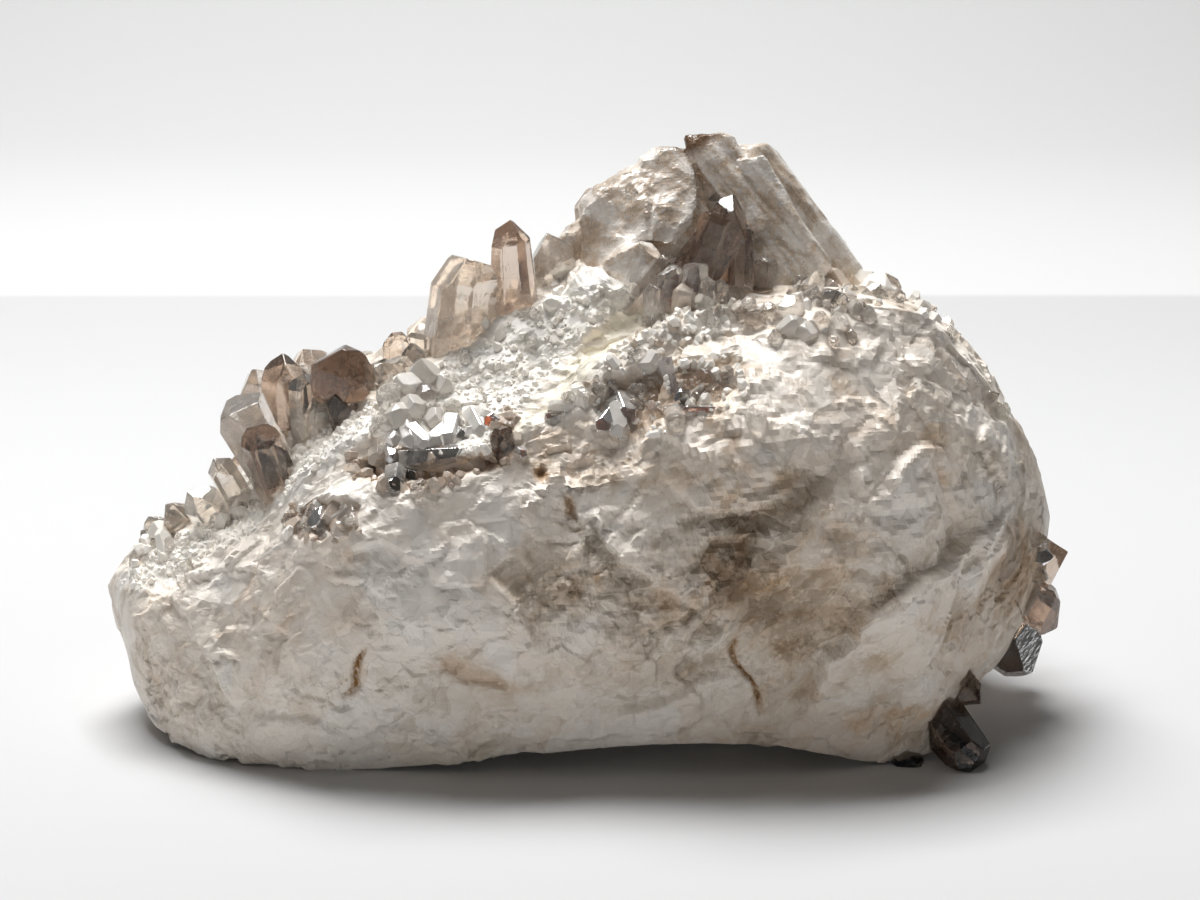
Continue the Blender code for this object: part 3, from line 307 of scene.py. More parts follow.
# Where the camera sees the face darker or lighter, browner, creamier or rusty:
# x, z, half width and half height in mm, turn in degrees, then shade, warm, cream and rust
tints = {
    "broad brown hollow above the big step": (30.3, 28.3, 12.2, 8.9, 35, -0.30, 0.55, 0.00, 0.00),
    "brown slot zone": (19.4, 31.1, 3.7, 6.0, 0, -0.25, 0.60, 0.00, 0.00),
    "under the brown slot": (17.1, 23.7, 5.8, 4.3, 20, -0.10, 0.45, 0.00, 0.00),
    "light left part": (-46.0, 18.0, 32.0, 26.0, 15, 0.24, -0.20, 0.00, 0.00),
    "light top of the face": (-5.0, 42.0, 30.0, 7.0, 12, 0.10, 0.00, 0.00, 0.00),
    "grey middle": (-5.7, 28.3, 7.5, 6.5, 20, -0.16, 0.10, 0.00, 0.00),
    "brown middle": (13.0, 26.0, 6.9, 3.2, 25, -0.16, 0.35, 0.00, 0.00),
    "grey lower middle": (10.5, 16.3, 5.2, 4.3, 0, -0.18, 0.15, 0.00, 0.00),
    "under the vug": (-3.4, 50.1, 7.2, 3.2, 10, -0.12, 0.45, 0.00, 0.00),
    "under the pocket right": (2.4, 46.5, 8.6, 3.6, 5, -0.04, 0.25, 0.00, 0.00),
    "brown right of the vug": (26.0, 42.0, 8.1, 5.5, 30, -0.22, 0.50, 0.00, 0.00),
    "smoky right of the vug": (19.1, 48.7, 6.5, 5.0, 20, -0.16, 0.40, 0.00, 0.00),
    "ochre spot": (29.3, 43.9, 2.3, 1.4, 20, -0.05, 0.40, 0.00, 0.35),
    "yellow band right": (56.9, 48.7, 6.0, 2.3, -35, -0.06, 0.20, 0.35, 0.00),
    "cream rim right": (60.0, 58.5, 9.5, 0.9, -52, 0.20, 0.00, 0.80, 0.00),
    "grey behind the rim": (63.0, 61.0, 9.5, 2.2, -52, -0.14, 0.25, 0.10, 0.00),
    "brown right edge": (64.3, 30.6, 4.6, 7.5, 0, -0.34, 0.85, 0.00, 0.00),
    "brown lower right": (46.9, 7.9, 7.2, 3.5, 10, -0.22, 0.55, 0.00, 0.00),
    "brown low step": (46.4, 16.3, 3.5, 2.6, 0, -0.12, 0.40, 0.00, 0.00),
    "brown far right low": (55.5, 19.1, 5.8, 6.5, 0, -0.12, 0.40, 0.00, 0.00),
    "white bottom band": (13.1, 9.5, 10.1, 3.7, 8, 0.26, 0.00, 0.00, 0.00),
    "white lower left": (-37.7, 5.9, 12.9, 4.0, 0, 0.12, 0.00, 0.10, 0.00),
    "white left middle": (-32.9, 26.8, 8.9, 5.8, 20, 0.10, 0.00, 0.00, 0.00),
    "white plate right": (49.4, 46.2, 3.7, 3.5, 0, 0.30, 0.00, 0.00, 0.00),
    # paler streaks: white crumbly quartz with a painted highlight for its sparkle
    "pale streak right with painted sparkle": (56.0, 42.3, 4.0, 1.6, 15, 0.34, 0.00, 0.00, 0.00),
    "pale streak top with painted sparkle": (45.4, 56.9, 8.1, 2.9, 20, 0.22, 0.00, 0.00, 0.00),
    "pale right face": (43.0, 52.5, 12.9, 8.6, 20, 0.10, 0.05, 0.00, 0.00),
    "cream under the tip": (-59.5, 20.6, 7.5, 10.1, -30, 0.02, 0.25, 0.12, 0.00),
    "grey left face": (-41.8, 23.7, 8.6, 5.8, 25, -0.08, 0.10, 0.00, 0.00),
    "olive dent": (-16.8, 15.4, 6.0, 2.9, -15, -0.10, 0.35, 0.10, 0.22),
    "right of the olive dent": (-9.4, 12.9, 3.5, 1.7, 0, -0.05, 0.30, 0.00, 0.25),
    "white under the pocket": (-21.0, 39.0, 10.1, 3.7, 12, 0.14, 0.00, 0.00, 0.00),
    "cream bottom edge left": (-17.0, 2.3, 17.3, 1.7, -3, 0.05, 0.00, 0.40, 0.00),
    "ochre hole": (-6.5, 46.3, 1.3, 1.4, 0, -0.10, 0.20, 0.00, 0.80),
    "ochre hole low": (-2.4, 41.2, 1.2, 2.2, 0, -0.10, 0.20, 0.00, 0.80),
    "ochre speck": (2.0, 30.1, 0.9, 1.2, 0, 0.00, 0.20, 0.00, 0.70),
    "ochre by the nest": (-34.2, 32.9, 2.9, 1.2, -20, 0.00, 0.20, 0.00, 0.35),
}


def slopesOf(at, values):
    # slopes that let a curve through the values run without overshoot
    steps = np.diff(values) / np.diff(at)
    before = steps[:-1]
    after = steps[1:]
    sameWay = before * after > 0
    total = np.where(sameWay, before + after, 1.0)
    inner = np.where(sameWay, 2 * before * after / total, 0.0)
    return np.concatenate([steps[:1], inner, steps[-1:]])


def curve(start, end, leaving, arriving, t):
    # the curve from start to end with the two slopes, at the share t of the way
    first = start * (1 + 2 * t) * (1 - t) ** 2 + leaving * t * (1 - t) ** 2
    second = end * t * t * (3 - 2 * t) + arriving * t * t * (t - 1)
    return first + second


def railAt(points, xs):
    # the rail's y and z at each x
    knots = np.array([stone["leftTip"]] + list(points) + [stone["rightTip"]], dtype=float)
    at = knots[:, 0]
    part = np.clip(np.searchsorted(at, xs, side="right") - 1, 0, len(at) - 2)
    width = at[part + 1] - at[part]
    t = (xs - at[part]) / width
    found = []
    for column in (1, 2):
        values = knots[:, column]
        slope = slopesOf(at, values)
        found.append(curve(values[part], values[part + 1], slope[part] * width, slope[part + 1] * width, t))
    return np.stack(found, axis=1)


def ringPlaces():
    # the x of every ring, a little closer towards the tips
    turn = np.linspace(0, math.pi, stone["rings"] + 2)[1:-1]
    left, right = stone["leftTip"][0], stone["rightTip"][0]
    rounded = (left + right) / 2 - (right - left) / 2 * np.cos(turn)
    even = left + (right - left) * turn / math.pi
    return (1 - stone["evenRings"]) * rounded + stone["evenRings"] * even


def railSteps():
    # the broken face and the crest get finer steps than the hidden side and the sole
    steps = []
    for name in stone["rails"]:
        if name in ("front lip", "low belly", "belly", "brow", "front ridge", "groove"):
            steps.append(stone["frontSteps"])
        elif name in ("crest", "back top", "high back", "back"):
            steps.append(stone["backSteps"])
        else:
            steps.append(stone["soleSteps"])
    return steps


def ringsThrough(corners):
    # closed rounded rings through the rails' points, all rings at once
    after = np.roll(corners, -1, axis=1)
    before = np.roll(corners, 1, axis=1)
    reach = np.linalg.norm(after - corners, axis=2, keepdims=True) + 1e-9
    back = np.linalg.norm(corners - before, axis=2, keepdims=True) + 1e-9
    slope = ((after - corners) / reach * back + (corners - before) / back * reach) / (reach + back)
    sharp = np.array([stone["creases"].get(name, 0.0) for name in stone["rails"]])[None, :, None]
    sharpAfter = np.roll(sharp, -1, axis=1)
    straight = (after - corners) / reach
    leaving = slope * (1 - sharp) + straight * sharp
    arriving = np.roll(slope, -1, axis=1) * (1 - sharpAfter) + straight * sharpAfter
    points = []
    for k, steps in enumerate(railSteps()):
        for t in np.arange(steps) / steps:
            points.append(curve(corners[:, k], after[:, k], leaving[:, k] * reach[:, k],
                                arriving[:, k] * reach[:, k], t))
    return np.stack(points, axis=1)


def stoneSkin():
    # the smooth closed skin: points and faces
    xs = ringPlaces()
    corners = np.stack([railAt(points, xs) for points in stone["rails"].values()], axis=1)
    rings = ringsThrough(corners)
    count, around = rings.shape[:2]
    spread = np.repeat(xs, around)[:, None]
    points = np.concatenate([np.concatenate([spread, rings.reshape(-1, 2)], axis=1),
                             [stone["leftTip"], stone["rightTip"]]])
    number = np.arange(count * around).reshape(count, around)
    after = np.roll(number, -1, axis=1)
    faces = np.stack([number[:-1], number[1:], after[1:], after[:-1]], axis=-1).reshape(-1, 4).tolist()
    left, right = count * around, count * around + 1
    faces += [(left, int(a), int(b)) for a, b in zip(number[0], after[0])]
    faces += [(right, int(b), int(a)) for a, b in zip(number[-1], after[-1])]
    return points, faces


def lineDistance(px, pz, line):
    # signed distance to a line on the broken face, positive left of it, and a fade towards its ends
    nearest = np.full(px.shape, 1e9)
    side = np.ones(px.shape)
    along = np.zeros(px.shape)
    run = 0.0
    for (ax, az), (bx, bz) in zip(line, line[1:]):
        length = math.dist((ax, az), (bx, bz))
        ux, uz = (bx - ax) / length, (bz - az) / length
        s = np.clip((px - ax) * ux + (pz - az) * uz, 0, length)
        gap = np.hypot(px - ax - s * ux, pz - az - s * uz)
        closer = gap < nearest
        nearest = np.where(closer, gap, nearest)
        side = np.where(closer, np.sign(ux * (pz - az) - uz * (px - ax)), side)
        along = np.where(closer, run + s, along)
        run += length
    fade = np.clip(np.minimum(along, run - along) / (0.2 * run), 0, 1)
    return nearest * side, fade


def alongStreaks(points, short):
    # the points turned along the streaks of the broken face and drawn together along them
    turn = math.radians(breakage["streakTurn"])
    along = points[:, 0] * math.cos(turn) + points[:, 2] * math.sin(turn)
    across = -points[:, 0] * math.sin(turn) + points[:, 2] * math.cos(turn)
    return np.stack([along * short, points[:, 1], across], axis=1)


def plateSteps(points, size, perWave, step, salt):
    # thin broken plates lying over each other: height, how near a plate's rim is, and a number per plate
    field = layeredNoise(alongStreaks(points, 0.6) / size, salt, 4) * perWave * 2
    field += 0.12 * softNoise(points / 1.3, salt + 40)
    level = np.floor(field)
    part = field - level
    rise = smoothStep(0.84, 1.0, part)
    rim = np.exp(-((part - 0.86) / 0.06) ** 2)
    number = cellNumber(np.stack([level.astype(np.int64)] * 3, axis=1), salt + 60)
    return (level + rise) * step, rim, number


def addLedges(marks, px, pz, facing):
    # the steps and cracks of the broken face
    rise, edge, reach = breakage["ledge"]
    shading, soft, far = breakage["ledgePaintedLightAndShade"]
    pale, off, wide = breakage["ledgeLine"]
    for line, height in ledges:
        away, fade = lineDistance(px, pz, line)
        side = np.sign(height)
        step = rise * height * np.tanh(away / edge) * np.exp(-np.abs(away) / reach)
        marks["lift"] += step * fade * facing
        # painted light on the step's raised side and painted shade on its low side
        marks["shade"] += side * np.tanh(away / soft) * np.exp(-np.abs(away) / far) * shading * fade * facing
        marks["bruise"] += np.exp(-((away - side * off) / wide) ** 2) * fade * facing * pale
    deep, narrow = breakage["crack"]
    rusty, stained = breakage["crackRust"]
    for line in cracks:
        away, fade = lineDistance(px, pz, line)
        marks["lift"] -= deep * np.exp(-(away / narrow) ** 2) * fade * facing
        marks["rust"] += rusty * np.exp(-(away / stained) ** 2) * fade * facing


def addBreakage(marks, points, normals):
    # broken faces, shells, plates and grains; gives back how crumbly each place is
    fromTips = np.minimum(points[:, 0] - stone["leftTip"][0], stone["rightTip"][0] - points[:, 0])
    fromTips = np.clip(fromTips / 12, 0.4, 1)
    low = np.clip(points[:, 2] / 9, 0.25, 1)
    craggy = 1 + breakage["backRough"] * np.clip(normals[:, 1] * 2, 0, 1)
    size, height, tilt, shading = breakage["faces"]
    broken, _, number = brokenCells(points, size, height, tilt, 100)
    marks["lift"] += broken * fromTips * low * craggy
    marks["shade"] += (number - 0.5) * shading
    crumble = smoothStep(0.0, 0.5, layeredNoise(points / 15, 501, 3) + 0.15 * np.clip(normals[:, 2], 0, 1))
    plain = smoothStep(20, 32, points[:, 0]) * np.clip(1 - 3 * normals[:, 1], 0, 1)
    crumble *= 1 - 0.9 * plain
    for level, (size, height, tilt, bowl, ridge, shading) in enumerate(breakage["shells"]):
        sunk, border, number = scallops(points, size, height, tilt, bowl, 1500 + 100 * level)
        rough = 0.4 + 0.6 * crumble if level else 1.0
        worn = smoothStep(-0.4, 0.4, softNoise(points / 5, 88 + level))
        marks["lift"] += (sunk - sunk.mean()) * (fromTips * low * rough * (1 - 0.55 * plain))
        marks["bruise"] += np.exp(-(border / 0.07) ** 2) * ridge * worn
        marks["shade"] += (number - 0.5) * shading
    for level, (size, perWave, step, rimmed, shading) in enumerate(breakage["plates"]):
        height, rim, number = plateSteps(points, size, perWave, step, 600 + 100 * level)
        worn = smoothStep(-0.3, 0.5, softNoise(points / 4, 77 + level))
        marks["lift"] += height * fromTips * low
        marks["bruise"] += rim * rimmed * worn
        marks["shade"] += (number - 0.5) * shading
    shading, lines = breakage["grainMarks"]
    for level, (size, height, tilt) in enumerate(breakage["grains"]):
        broken, border, number = brokenCells(points, size, height, tilt, 900 + 100 * level, 0.15)
        marks["lift"] += broken * fromTips * (0.12 + 0.88 * crumble)
        marks["shade"] += (number - 0.5) * shading * crumble
        marks["bruise"] += np.exp(-(border / 0.06) ** 2) * lines * crumble
    return crumble


def addTints(marks, points, stray, facing):
    # the dark, light, brown, cream and rusty places of the face
    px, pz = seen(points)
    px = px + stray[0]
    pz = pz + stray[1]
    uneven = 0.45 * layeredNoise(points / 6, 411, 3)
    for x, z, halfX, halfZ, turn, *amounts in tints.values():
        c, s = math.cos(math.radians(turn)), math.sin(math.radians(turn))
        dx, dz = px - x, pz - z
        reach = np.hypot((dx * c + dz * s) / halfX, (-dx * s + dz * c) / halfZ)
        inside = smoothStep(1.4, 0.4, reach + uneven) * facing
        for name, amount in zip(("shade", "warm", "cream", "rust"), amounts):
            marks[name] += amount * inside


def stoneRelief(points, normals):
    # how far each point of the skin moves along its normal, and the marks that its look is made from
    marks = {name: np.zeros(len(points)) for name in ("lift", "shade", "bruise", "rust", "warm", "cream")}
    facing = np.clip(-normals[:, 1] * 2.0, 0, 1)
    stray = []
    for salt in (301, 302):
        stray.append(sum(reach * softNoise(points / size, salt) for size, reach in breakage["wander"]))
    addLedges(marks, points[:, 0] + stray[0], points[:, 2] + stray[1], facing)
    crumble = addBreakage(marks, points, normals)
    addTints(marks, points, stray, facing)
    band = np.maximum(patch("band", points, normals), patch("left band", points, normals))
    groove = patch("band groove", points, normals, 1.5)
    crest = patch("second crest", points, normals)
    behind = np.clip(normals[:, 1] * 2 - 0.2, 0, 1)
    # the band and the second crest are paler: partly their own cream-white, partly painted light on their
    # upward faces
    marks["shade"] += 0.34 * band + 0.12 * groove + 0.14 * crest
    marks["shade"] -= behind * 0.06
    marks["cream"] += 0.2 * band + 1.1 * groove
    marks["warm"] += behind * (0.25 + 0.35 * layeredNoise(points / 12, 431, 2))
    marks["white"] = np.maximum(band, 0.45 * crest)
    crumble = np.maximum(crumble, np.maximum(band, crest) * 0.7)
    marks["crumble"] = np.maximum(crumble, behind * 0.6)
    return marks.pop("lift"), marks


def seen(points, waves=()):
    # x and z where the line from the camera to each point meets the plane of the face, and how these
    # stray: wave length, reach and salt of each wave
    eye = np.array(studio["cameraPlace"])
    part = (facePlane - eye[1]) / (points[:, 1] - eye[1])
    px, pz = eye[0] + (points[:, 0] - eye[0]) * part, eye[2] + (points[:, 2] - eye[2]) * part
    for size, reach, salt in waves:
        px = px + reach * softNoise(points / size, salt)
        pz = pz + reach * softNoise(points / size, salt + 1)
    return px, pz


def insideDistance(px, pz, corners):
    # how far each point lies inside a closed outline, negative outside it
    nearest = np.full(px.shape, 1e9)
    inside = np.zeros(px.shape, dtype=bool)
    for (ax, az), (bx, bz) in zip(corners, corners[1:] + corners[:1]):
        ux, uz = bx - ax, bz - az
        s = np.clip(((px - ax) * ux + (pz - az) * uz) / (ux * ux + uz * uz), 0, 1)
        nearest = np.minimum(nearest, np.hypot(px - ax - s * ux, pz - az - s * uz))
        crosses = (az > pz) != (bz > pz)
        inside ^= crosses & (px < ax + (pz - az) * ux / (uz if uz else 1e-9))
    return np.where(inside, nearest, -nearest)


def patch(name, points, normals, soft=1.0):
    # 1 inside the outline on the side that the camera sees, with a soft border
    px, pz = seen(points, [(2.0, 0.7, 311)])
    toward = np.clip((0.25 - normals[:, 1] + 0.6 * normals[:, 2]) * 4, 0, 1)
    return smoothStep(-soft, soft, insideDistance(px, pz, patches[name])) * toward * (points[:, 1] < 4)


def hollowDepth(points, normals):
    # how far the skin is pushed in
    px, pz = seen(points, [(2.5, 0.6, 321), (0.9, 0.3, 323)])
    front = points[:, 1] < -8
    toward = normals[:, 1] < 0.3
    depth = np.zeros(len(points))
    for name, (deep, wall) in hollows.items():
        away = insideDistance(px, pz, patches[name])
        depth = np.maximum(depth, deep * smoothStep(-0.3, wall, away) * front * toward)
    return depth


def setValues(mesh, name, values, domain="POINT"):
    # keeps a number or a vector for every point or face corner
    vectors = np.ndim(values) == 2
    made = mesh.attributes.new(name, "FLOAT_VECTOR" if vectors else "FLOAT", domain)
    made.data.foreach_set("vector" if vectors else "value", np.asarray(values, dtype=np.float32).ravel())


def readField(items, field, width=1, kind=np.int32):
    # one field of all the points, faces or corners of a mesh
    found = np.zeros(len(items) * width, dtype=kind)
    items.foreach_get(field, found)
    return found.reshape(-1, width) if width > 1 else found


def pointsOf(mesh):
    return readField(mesh.vertices, "co", 3, np.float32).astype(float)


def normalsOf(mesh):
    return readField(mesh.vertex_normals, "vector", 3, np.float32).astype(float)


def movePoints(mesh, points):
    # to places in mm
    mesh.vertices.foreach_set("co", ((points + recentre) * mm).astype(np.float32).ravel())


def place(name, data):
    # puts a mesh, a light or a camera in the scene
    made = bpy.data.objects.new(name, data)
    bpy.context.scene.collection.objects.link(made)
    return made


def shaped(thing):
    # the mesh that the modifiers give, kept
    bpy.context.view_layer.update()
    graph = bpy.context.evaluated_depsgraph_get()
    mesh = bpy.data.meshes.new_from_object(thing.evaluated_get(graph))
    thing.modifiers.clear()
    thing.data = mesh


def streakPlaces(points):
    # places in mm, turned along the streaks and strayed, on which the broken plates are drawn
    stray = np.stack([1.2 * softNoise(points * 0.20, 51 + axis) + 0.7 * softNoise(points * 0.45, 61 + axis)
                      + 0.45 * softNoise(points * 1.1, 71 + axis) for axis in range(3)], axis=1)
    return alongStreaks(points + stray, breakage["streakShort"])


def makeStone():
    points, faces = stoneSkin()
    mesh = bpy.data.meshes.new("massive quartz")
    mesh.from_pydata(points.tolist(), [], faces)
    normals = normalsOf(mesh)
    lift, marks = stoneRelief(points, normals)
    depth = hollowDepth(points, normals)
    # painted shade: the hollows turn darker and browner the deeper they lie
    marks["hollowShade"] = np.clip(depth / 5, 0, 1)
    moved = points + normals * lift[:, None] + inward * depth[:, None]
    moved[:, 2] = np.maximum(moved[:, 2], 0.0)  # nothing of it reaches below the floor
    movePoints(mesh, moved)
    for name, values in marks.items():
        setValues(mesh, name, values)
    setValues(mesh, "streaks", streakPlaces(points))
    made = place("massiveQuartz", mesh)
    fewer = made.modifiers.new("Fewer", "DECIMATE")
    fewer.ratio = stone["triangles"] / (2 * len(faces))
    shaped(made)
    return made


print("frame loaded, making the massive quartz")
massiveQuartz = makeStone()
print("massive quartz:", len(massiveQuartz.data.polygons), "faces")

# Crystals: six-sided prisms with pointed tips, cut from planes; their sizes are in radii

growth = {
    "lean": 51.8,  # degrees between the axis and the normal of a tip face
    "walls": (0.80, 1.06),  # how far the six walls stand from the axis
    "late": 0.3,  # how much further every second tip face lies
    "taper": 0.03,  # how much a wall leans inwards, in mm a mm
    "breakTilt": 0.7,  # how steep a broken end may be
    "breakDepth": 2.2,  # how far below the tip a crystal ends when its tip is wholly broken off
    "wear": (0.05, 0.13),  # width of its worn edges, and the most that it may be in mm
    "root": 2.5,  # mm that it goes on below its foot
    "veilInset": 0.12,  # how far its healed cracks end inside its walls
}


def crystalPlanes(radius, length, broken, chance, root, taper=growth["taper"]):
    # planes around a crystal that stands on the origin: normal and distance
    planes = []
    lean = math.radians(growth["lean"])
    out, up = math.sin(lean), math.cos(lean)
    for side in range(6):
        turn = side * math.pi / 3
        reach = radius * chance.uniform(*growth["walls"])
        wall = Vector((math.cos(turn), math.sin(turn), taper)).normalized()
        planes.append((wall, (reach + 0.5 * length * taper) / math.hypot(1, taper)))
        later = chance.uniform(0.0, growth["late"])
        if side % 2:
            later += growth["late"]
        tipFace = Vector((math.cos(turn) * out, math.sin(turn) * out, up))
        planes.append((tipFace, (length + later * radius) * up))
    planes.append((Vector((0, 0, -1)), root))
    if broken:
        tilt = growth["breakTilt"]
        normal = Vector((chance.uniform(-tilt, tilt), chance.uniform(-tilt, tilt), 1)).normalized()
        planes.append((normal, (length - broken * growth["breakDepth"] * radius) * normal.z))
    return planes


def insidePlanes(planes, bevel):
    # the solid inside all the planes, with slightly worn edges
    normals = np.array([tuple(normal) for normal, _ in planes])
    reaches = np.array([reach for _, reach in planes])
    trios = np.array(list(combinations(range(len(planes)), 3)))
    parts = normals[trios]
    good = np.abs(np.linalg.det(parts)) > 1e-4
    corners = np.linalg.solve(parts[good], reaches[trios][good][..., None])[..., 0]
    kept = corners[np.all(corners @ normals.T <= reaches + 1e-6, axis=1)]
    solid = bmesh.new()
    for corner in kept:
        solid.verts.new(corner)
    bmesh.ops.remove_doubles(solid, verts=solid.verts, dist=0.03)
    hull = bmesh.ops.convex_hull(solid, input=solid.verts)
    bmesh.ops.delete(solid, geom=hull["geom_interior"], context="VERTS")
    bmesh.ops.dissolve_limit(solid, angle_limit=math.radians(1), verts=solid.verts, edges=solid.edges)
    bmesh.ops.recalc_face_normals(solid, faces=solid.faces)
    bmesh.ops.bevel(solid, geom=solid.edges, offset=bevel, segments=1, affect="EDGES", profile=0.6,
                    clamp_overlap=True)
    return solid


def ownMarkings(seed):
    # mm that keep the markings of each crystal apart from those of the others
    return seed * 7.31 % 500


def newPile():
    return {"points": [], "faces": [], "grown": [], "milk": [], "looks": [], "count": 0}


def addShape(pile, local, faces, matrix, look, seed, milk):
    # puts a shape into the pile and keeps its own places and its milk, 0 to 1, for every point
    turned = np.array(matrix)
    pile["points"].append(local @ turned[:3, :3].T + turned[:3, 3])
    pile["grown"].append(local + ownMarkings(seed))
    pile["milk"].append(milk)
    for face in faces:
        pile["faces"].append([index + pile["count"] for index in face])
        pile["looks"].append(look)
    pile["count"] += len(local)


def giveMaterials(mesh, order, faceLooks, materials):
    # one material for each look, in the order given
    names = list(dict.fromkeys(order))
    mesh.materials.clear()
    for look in names:
        mesh.materials.append(materials[look])
    mesh.polygons.foreach_set("material_index", [names.index(look) for look in faceLooks])


def pileMesh(name, pile, materials):
    mesh = bpy.data.meshes.new(name)
    points = (np.concatenate(pile["points"]) + recentre) * mm
    mesh.from_pydata(points.tolist(), [], pile["faces"])
    corners = readField(mesh.loops, "vertex_index")
    setValues(mesh, "grown", np.concatenate(pile["grown"])[corners], "CORNER")
    setValues(mesh, "milk", np.concatenate(pile["milk"])[corners], "CORNER")
    giveMaterials(mesh, pile["looks"], pile["looks"], materials)
    return place(name, mesh)


def aimMatrix(foot, tip, roll):
    # puts the origin at the foot, turns the z axis to the tip and rolls by degrees around it
    axis = Vector(tip) - Vector(foot)
    turn = Matrix.Rotation(math.radians(roll), 4, "Z")
    return Matrix.Translation(foot) @ axis.to_track_quat("Z", "Y").to_matrix().to_4x4() @ turn


def slicePlanes(planes, normal, distance, inset):
    # the flat shape where a plane cuts the solid inside the planes, a little inside its walls
    normal = normal.normalized()
    side = normal.orthogonal().normalized()
    other = normal.cross(side)
    half = 60  # mm, more than any crystal
    shape = []
    for a, b in ((-half, -half), (half, -half), (half, half), (-half, half)):
        shape.append(normal * distance + side * a + other * b)
    for wall, reach in planes:
        cut = []
        for here, there in zip(shape, shape[1:] + shape[:1]):
            a, b = wall.dot(here) - (reach - inset), wall.dot(there) - (reach - inset)
            if a <= 0:
                cut.append(here)
            if a * b < 0:
                cut.append(here.lerp(there, a / (a - b)))
        shape = cut
        if len(shape) < 3:
            return []
    return shape


def addVeil(pile, shape, matrix, seed):
    # a thin healed crack inside a crystal
    if shape:
        local = np.array([tuple(corner) for corner in shape])
        addShape(pile, local, [range(len(shape))], matrix, "veil", seed, np.zeros(len(shape)))


def makeCrystal(veils, foot, tip, radius, roll, broken, look, seed, milk, veilCount, taper=growth["taper"]):
    # one crystal from foot to tip, milky up to a share of its length, with healed cracks inside it
    chance = random.Random(seed)
    length = (Vector(tip) - Vector(foot)).length
    planes = crystalPlanes(radius, length, broken, chance, growth["root"], taper)
    worn, widest = growth["wear"]
    solid = insidePlanes(planes, min(widest, worn * radius))
    matrix = aimMatrix(foot, tip, roll)
    for _ in range(veilCount):
        normal = Vector((chance.uniform(-1, 1), chance.uniform(-1, 1), chance.uniform(-0.3, 1.2)))
        middle = Vector((chance.uniform(-0.3, 0.3) * radius, chance.uniform(-0.3, 0.3) * radius,
                         length * chance.uniform(0.15, 0.85)))
        distance = normal.normalized().dot(middle)
        addVeil(veils, slicePlanes(planes, normal, distance, growth["veilInset"] * radius), matrix, seed)
    return {"solid": solid, "matrix": matrix, "planes": planes, "look": look, "seed": seed,
            "milk": length * milk + 0.01}


def unite(name, crystals):
    # one skin around all the crystals
    whole = None
    for crystal in crystals:
        solid = crystal["solid"]
        solid.transform(crystal["matrix"])
        solid.transform(Matrix.Scale(mm, 4) @ Matrix.Translation(recentre))
        bmesh.ops.recalc_face_normals(solid, faces=solid.faces)
        mesh = bpy.data.meshes.new(name)
        solid.to_mesh(mesh)
        solid.free()
        other = place(name, mesh)
        if whole is None:
            whole = other
            continue
        union = whole.modifiers.new("Union", "BOOLEAN")
        union.operation = "UNION"
        union.solver = "MANIFOLD"
        union.object = other
        shaped(whole)
        bpy.data.objects.remove(other)
    return whole


def meltTogether(name, crystals, materials):
    # unites the crystals and keeps for every face corner the place along its own crystal
    whole = unite(name, crystals)
    mesh = whole.data
    points = pointsOf(mesh) / mm - recentre
    middles = readField(mesh.polygons, "center", 3, np.float32) / mm - recentre
    away, inner = [], []
    for crystal in crystals:
        back = np.array(crystal["matrix"].inverted())
        normals = np.array([tuple(normal.normalized()) for normal, _ in crystal["planes"]])
        reaches = np.array([reach for _, reach in crystal["planes"]])
        local = middles @ back[:3, :3].T + back[:3, 3]
        away.append(np.abs(np.max(local @ normals.T - reaches, axis=1)))
        inner.append(points @ back[:3, :3].T + back[:3, 3])
    owner = np.argmin(np.stack(away), axis=0)
    cornerOwner = np.repeat(owner, readField(mesh.polygons, "loop_total"))
    inner = np.stack(inner)[cornerOwner, readField(mesh.loops, "vertex_index")]
    seeds = np.array([crystal["seed"] for crystal in crystals])[cornerOwner]
    reach = np.array([crystal["milk"] for crystal in crystals])[cornerOwner]
    setValues(mesh, "grown", inner + ownMarkings(seeds)[:, None], "CORNER")
    setValues(mesh, "milk", np.clip(1 - inner[:, 2] / reach, 0, 1), "CORNER")
    crystalOrder = [crystal["look"] for crystal in crystals]
    giveMaterials(mesh, crystalOrder, [crystalOrder[which] for which in owner], materials)
    return whole


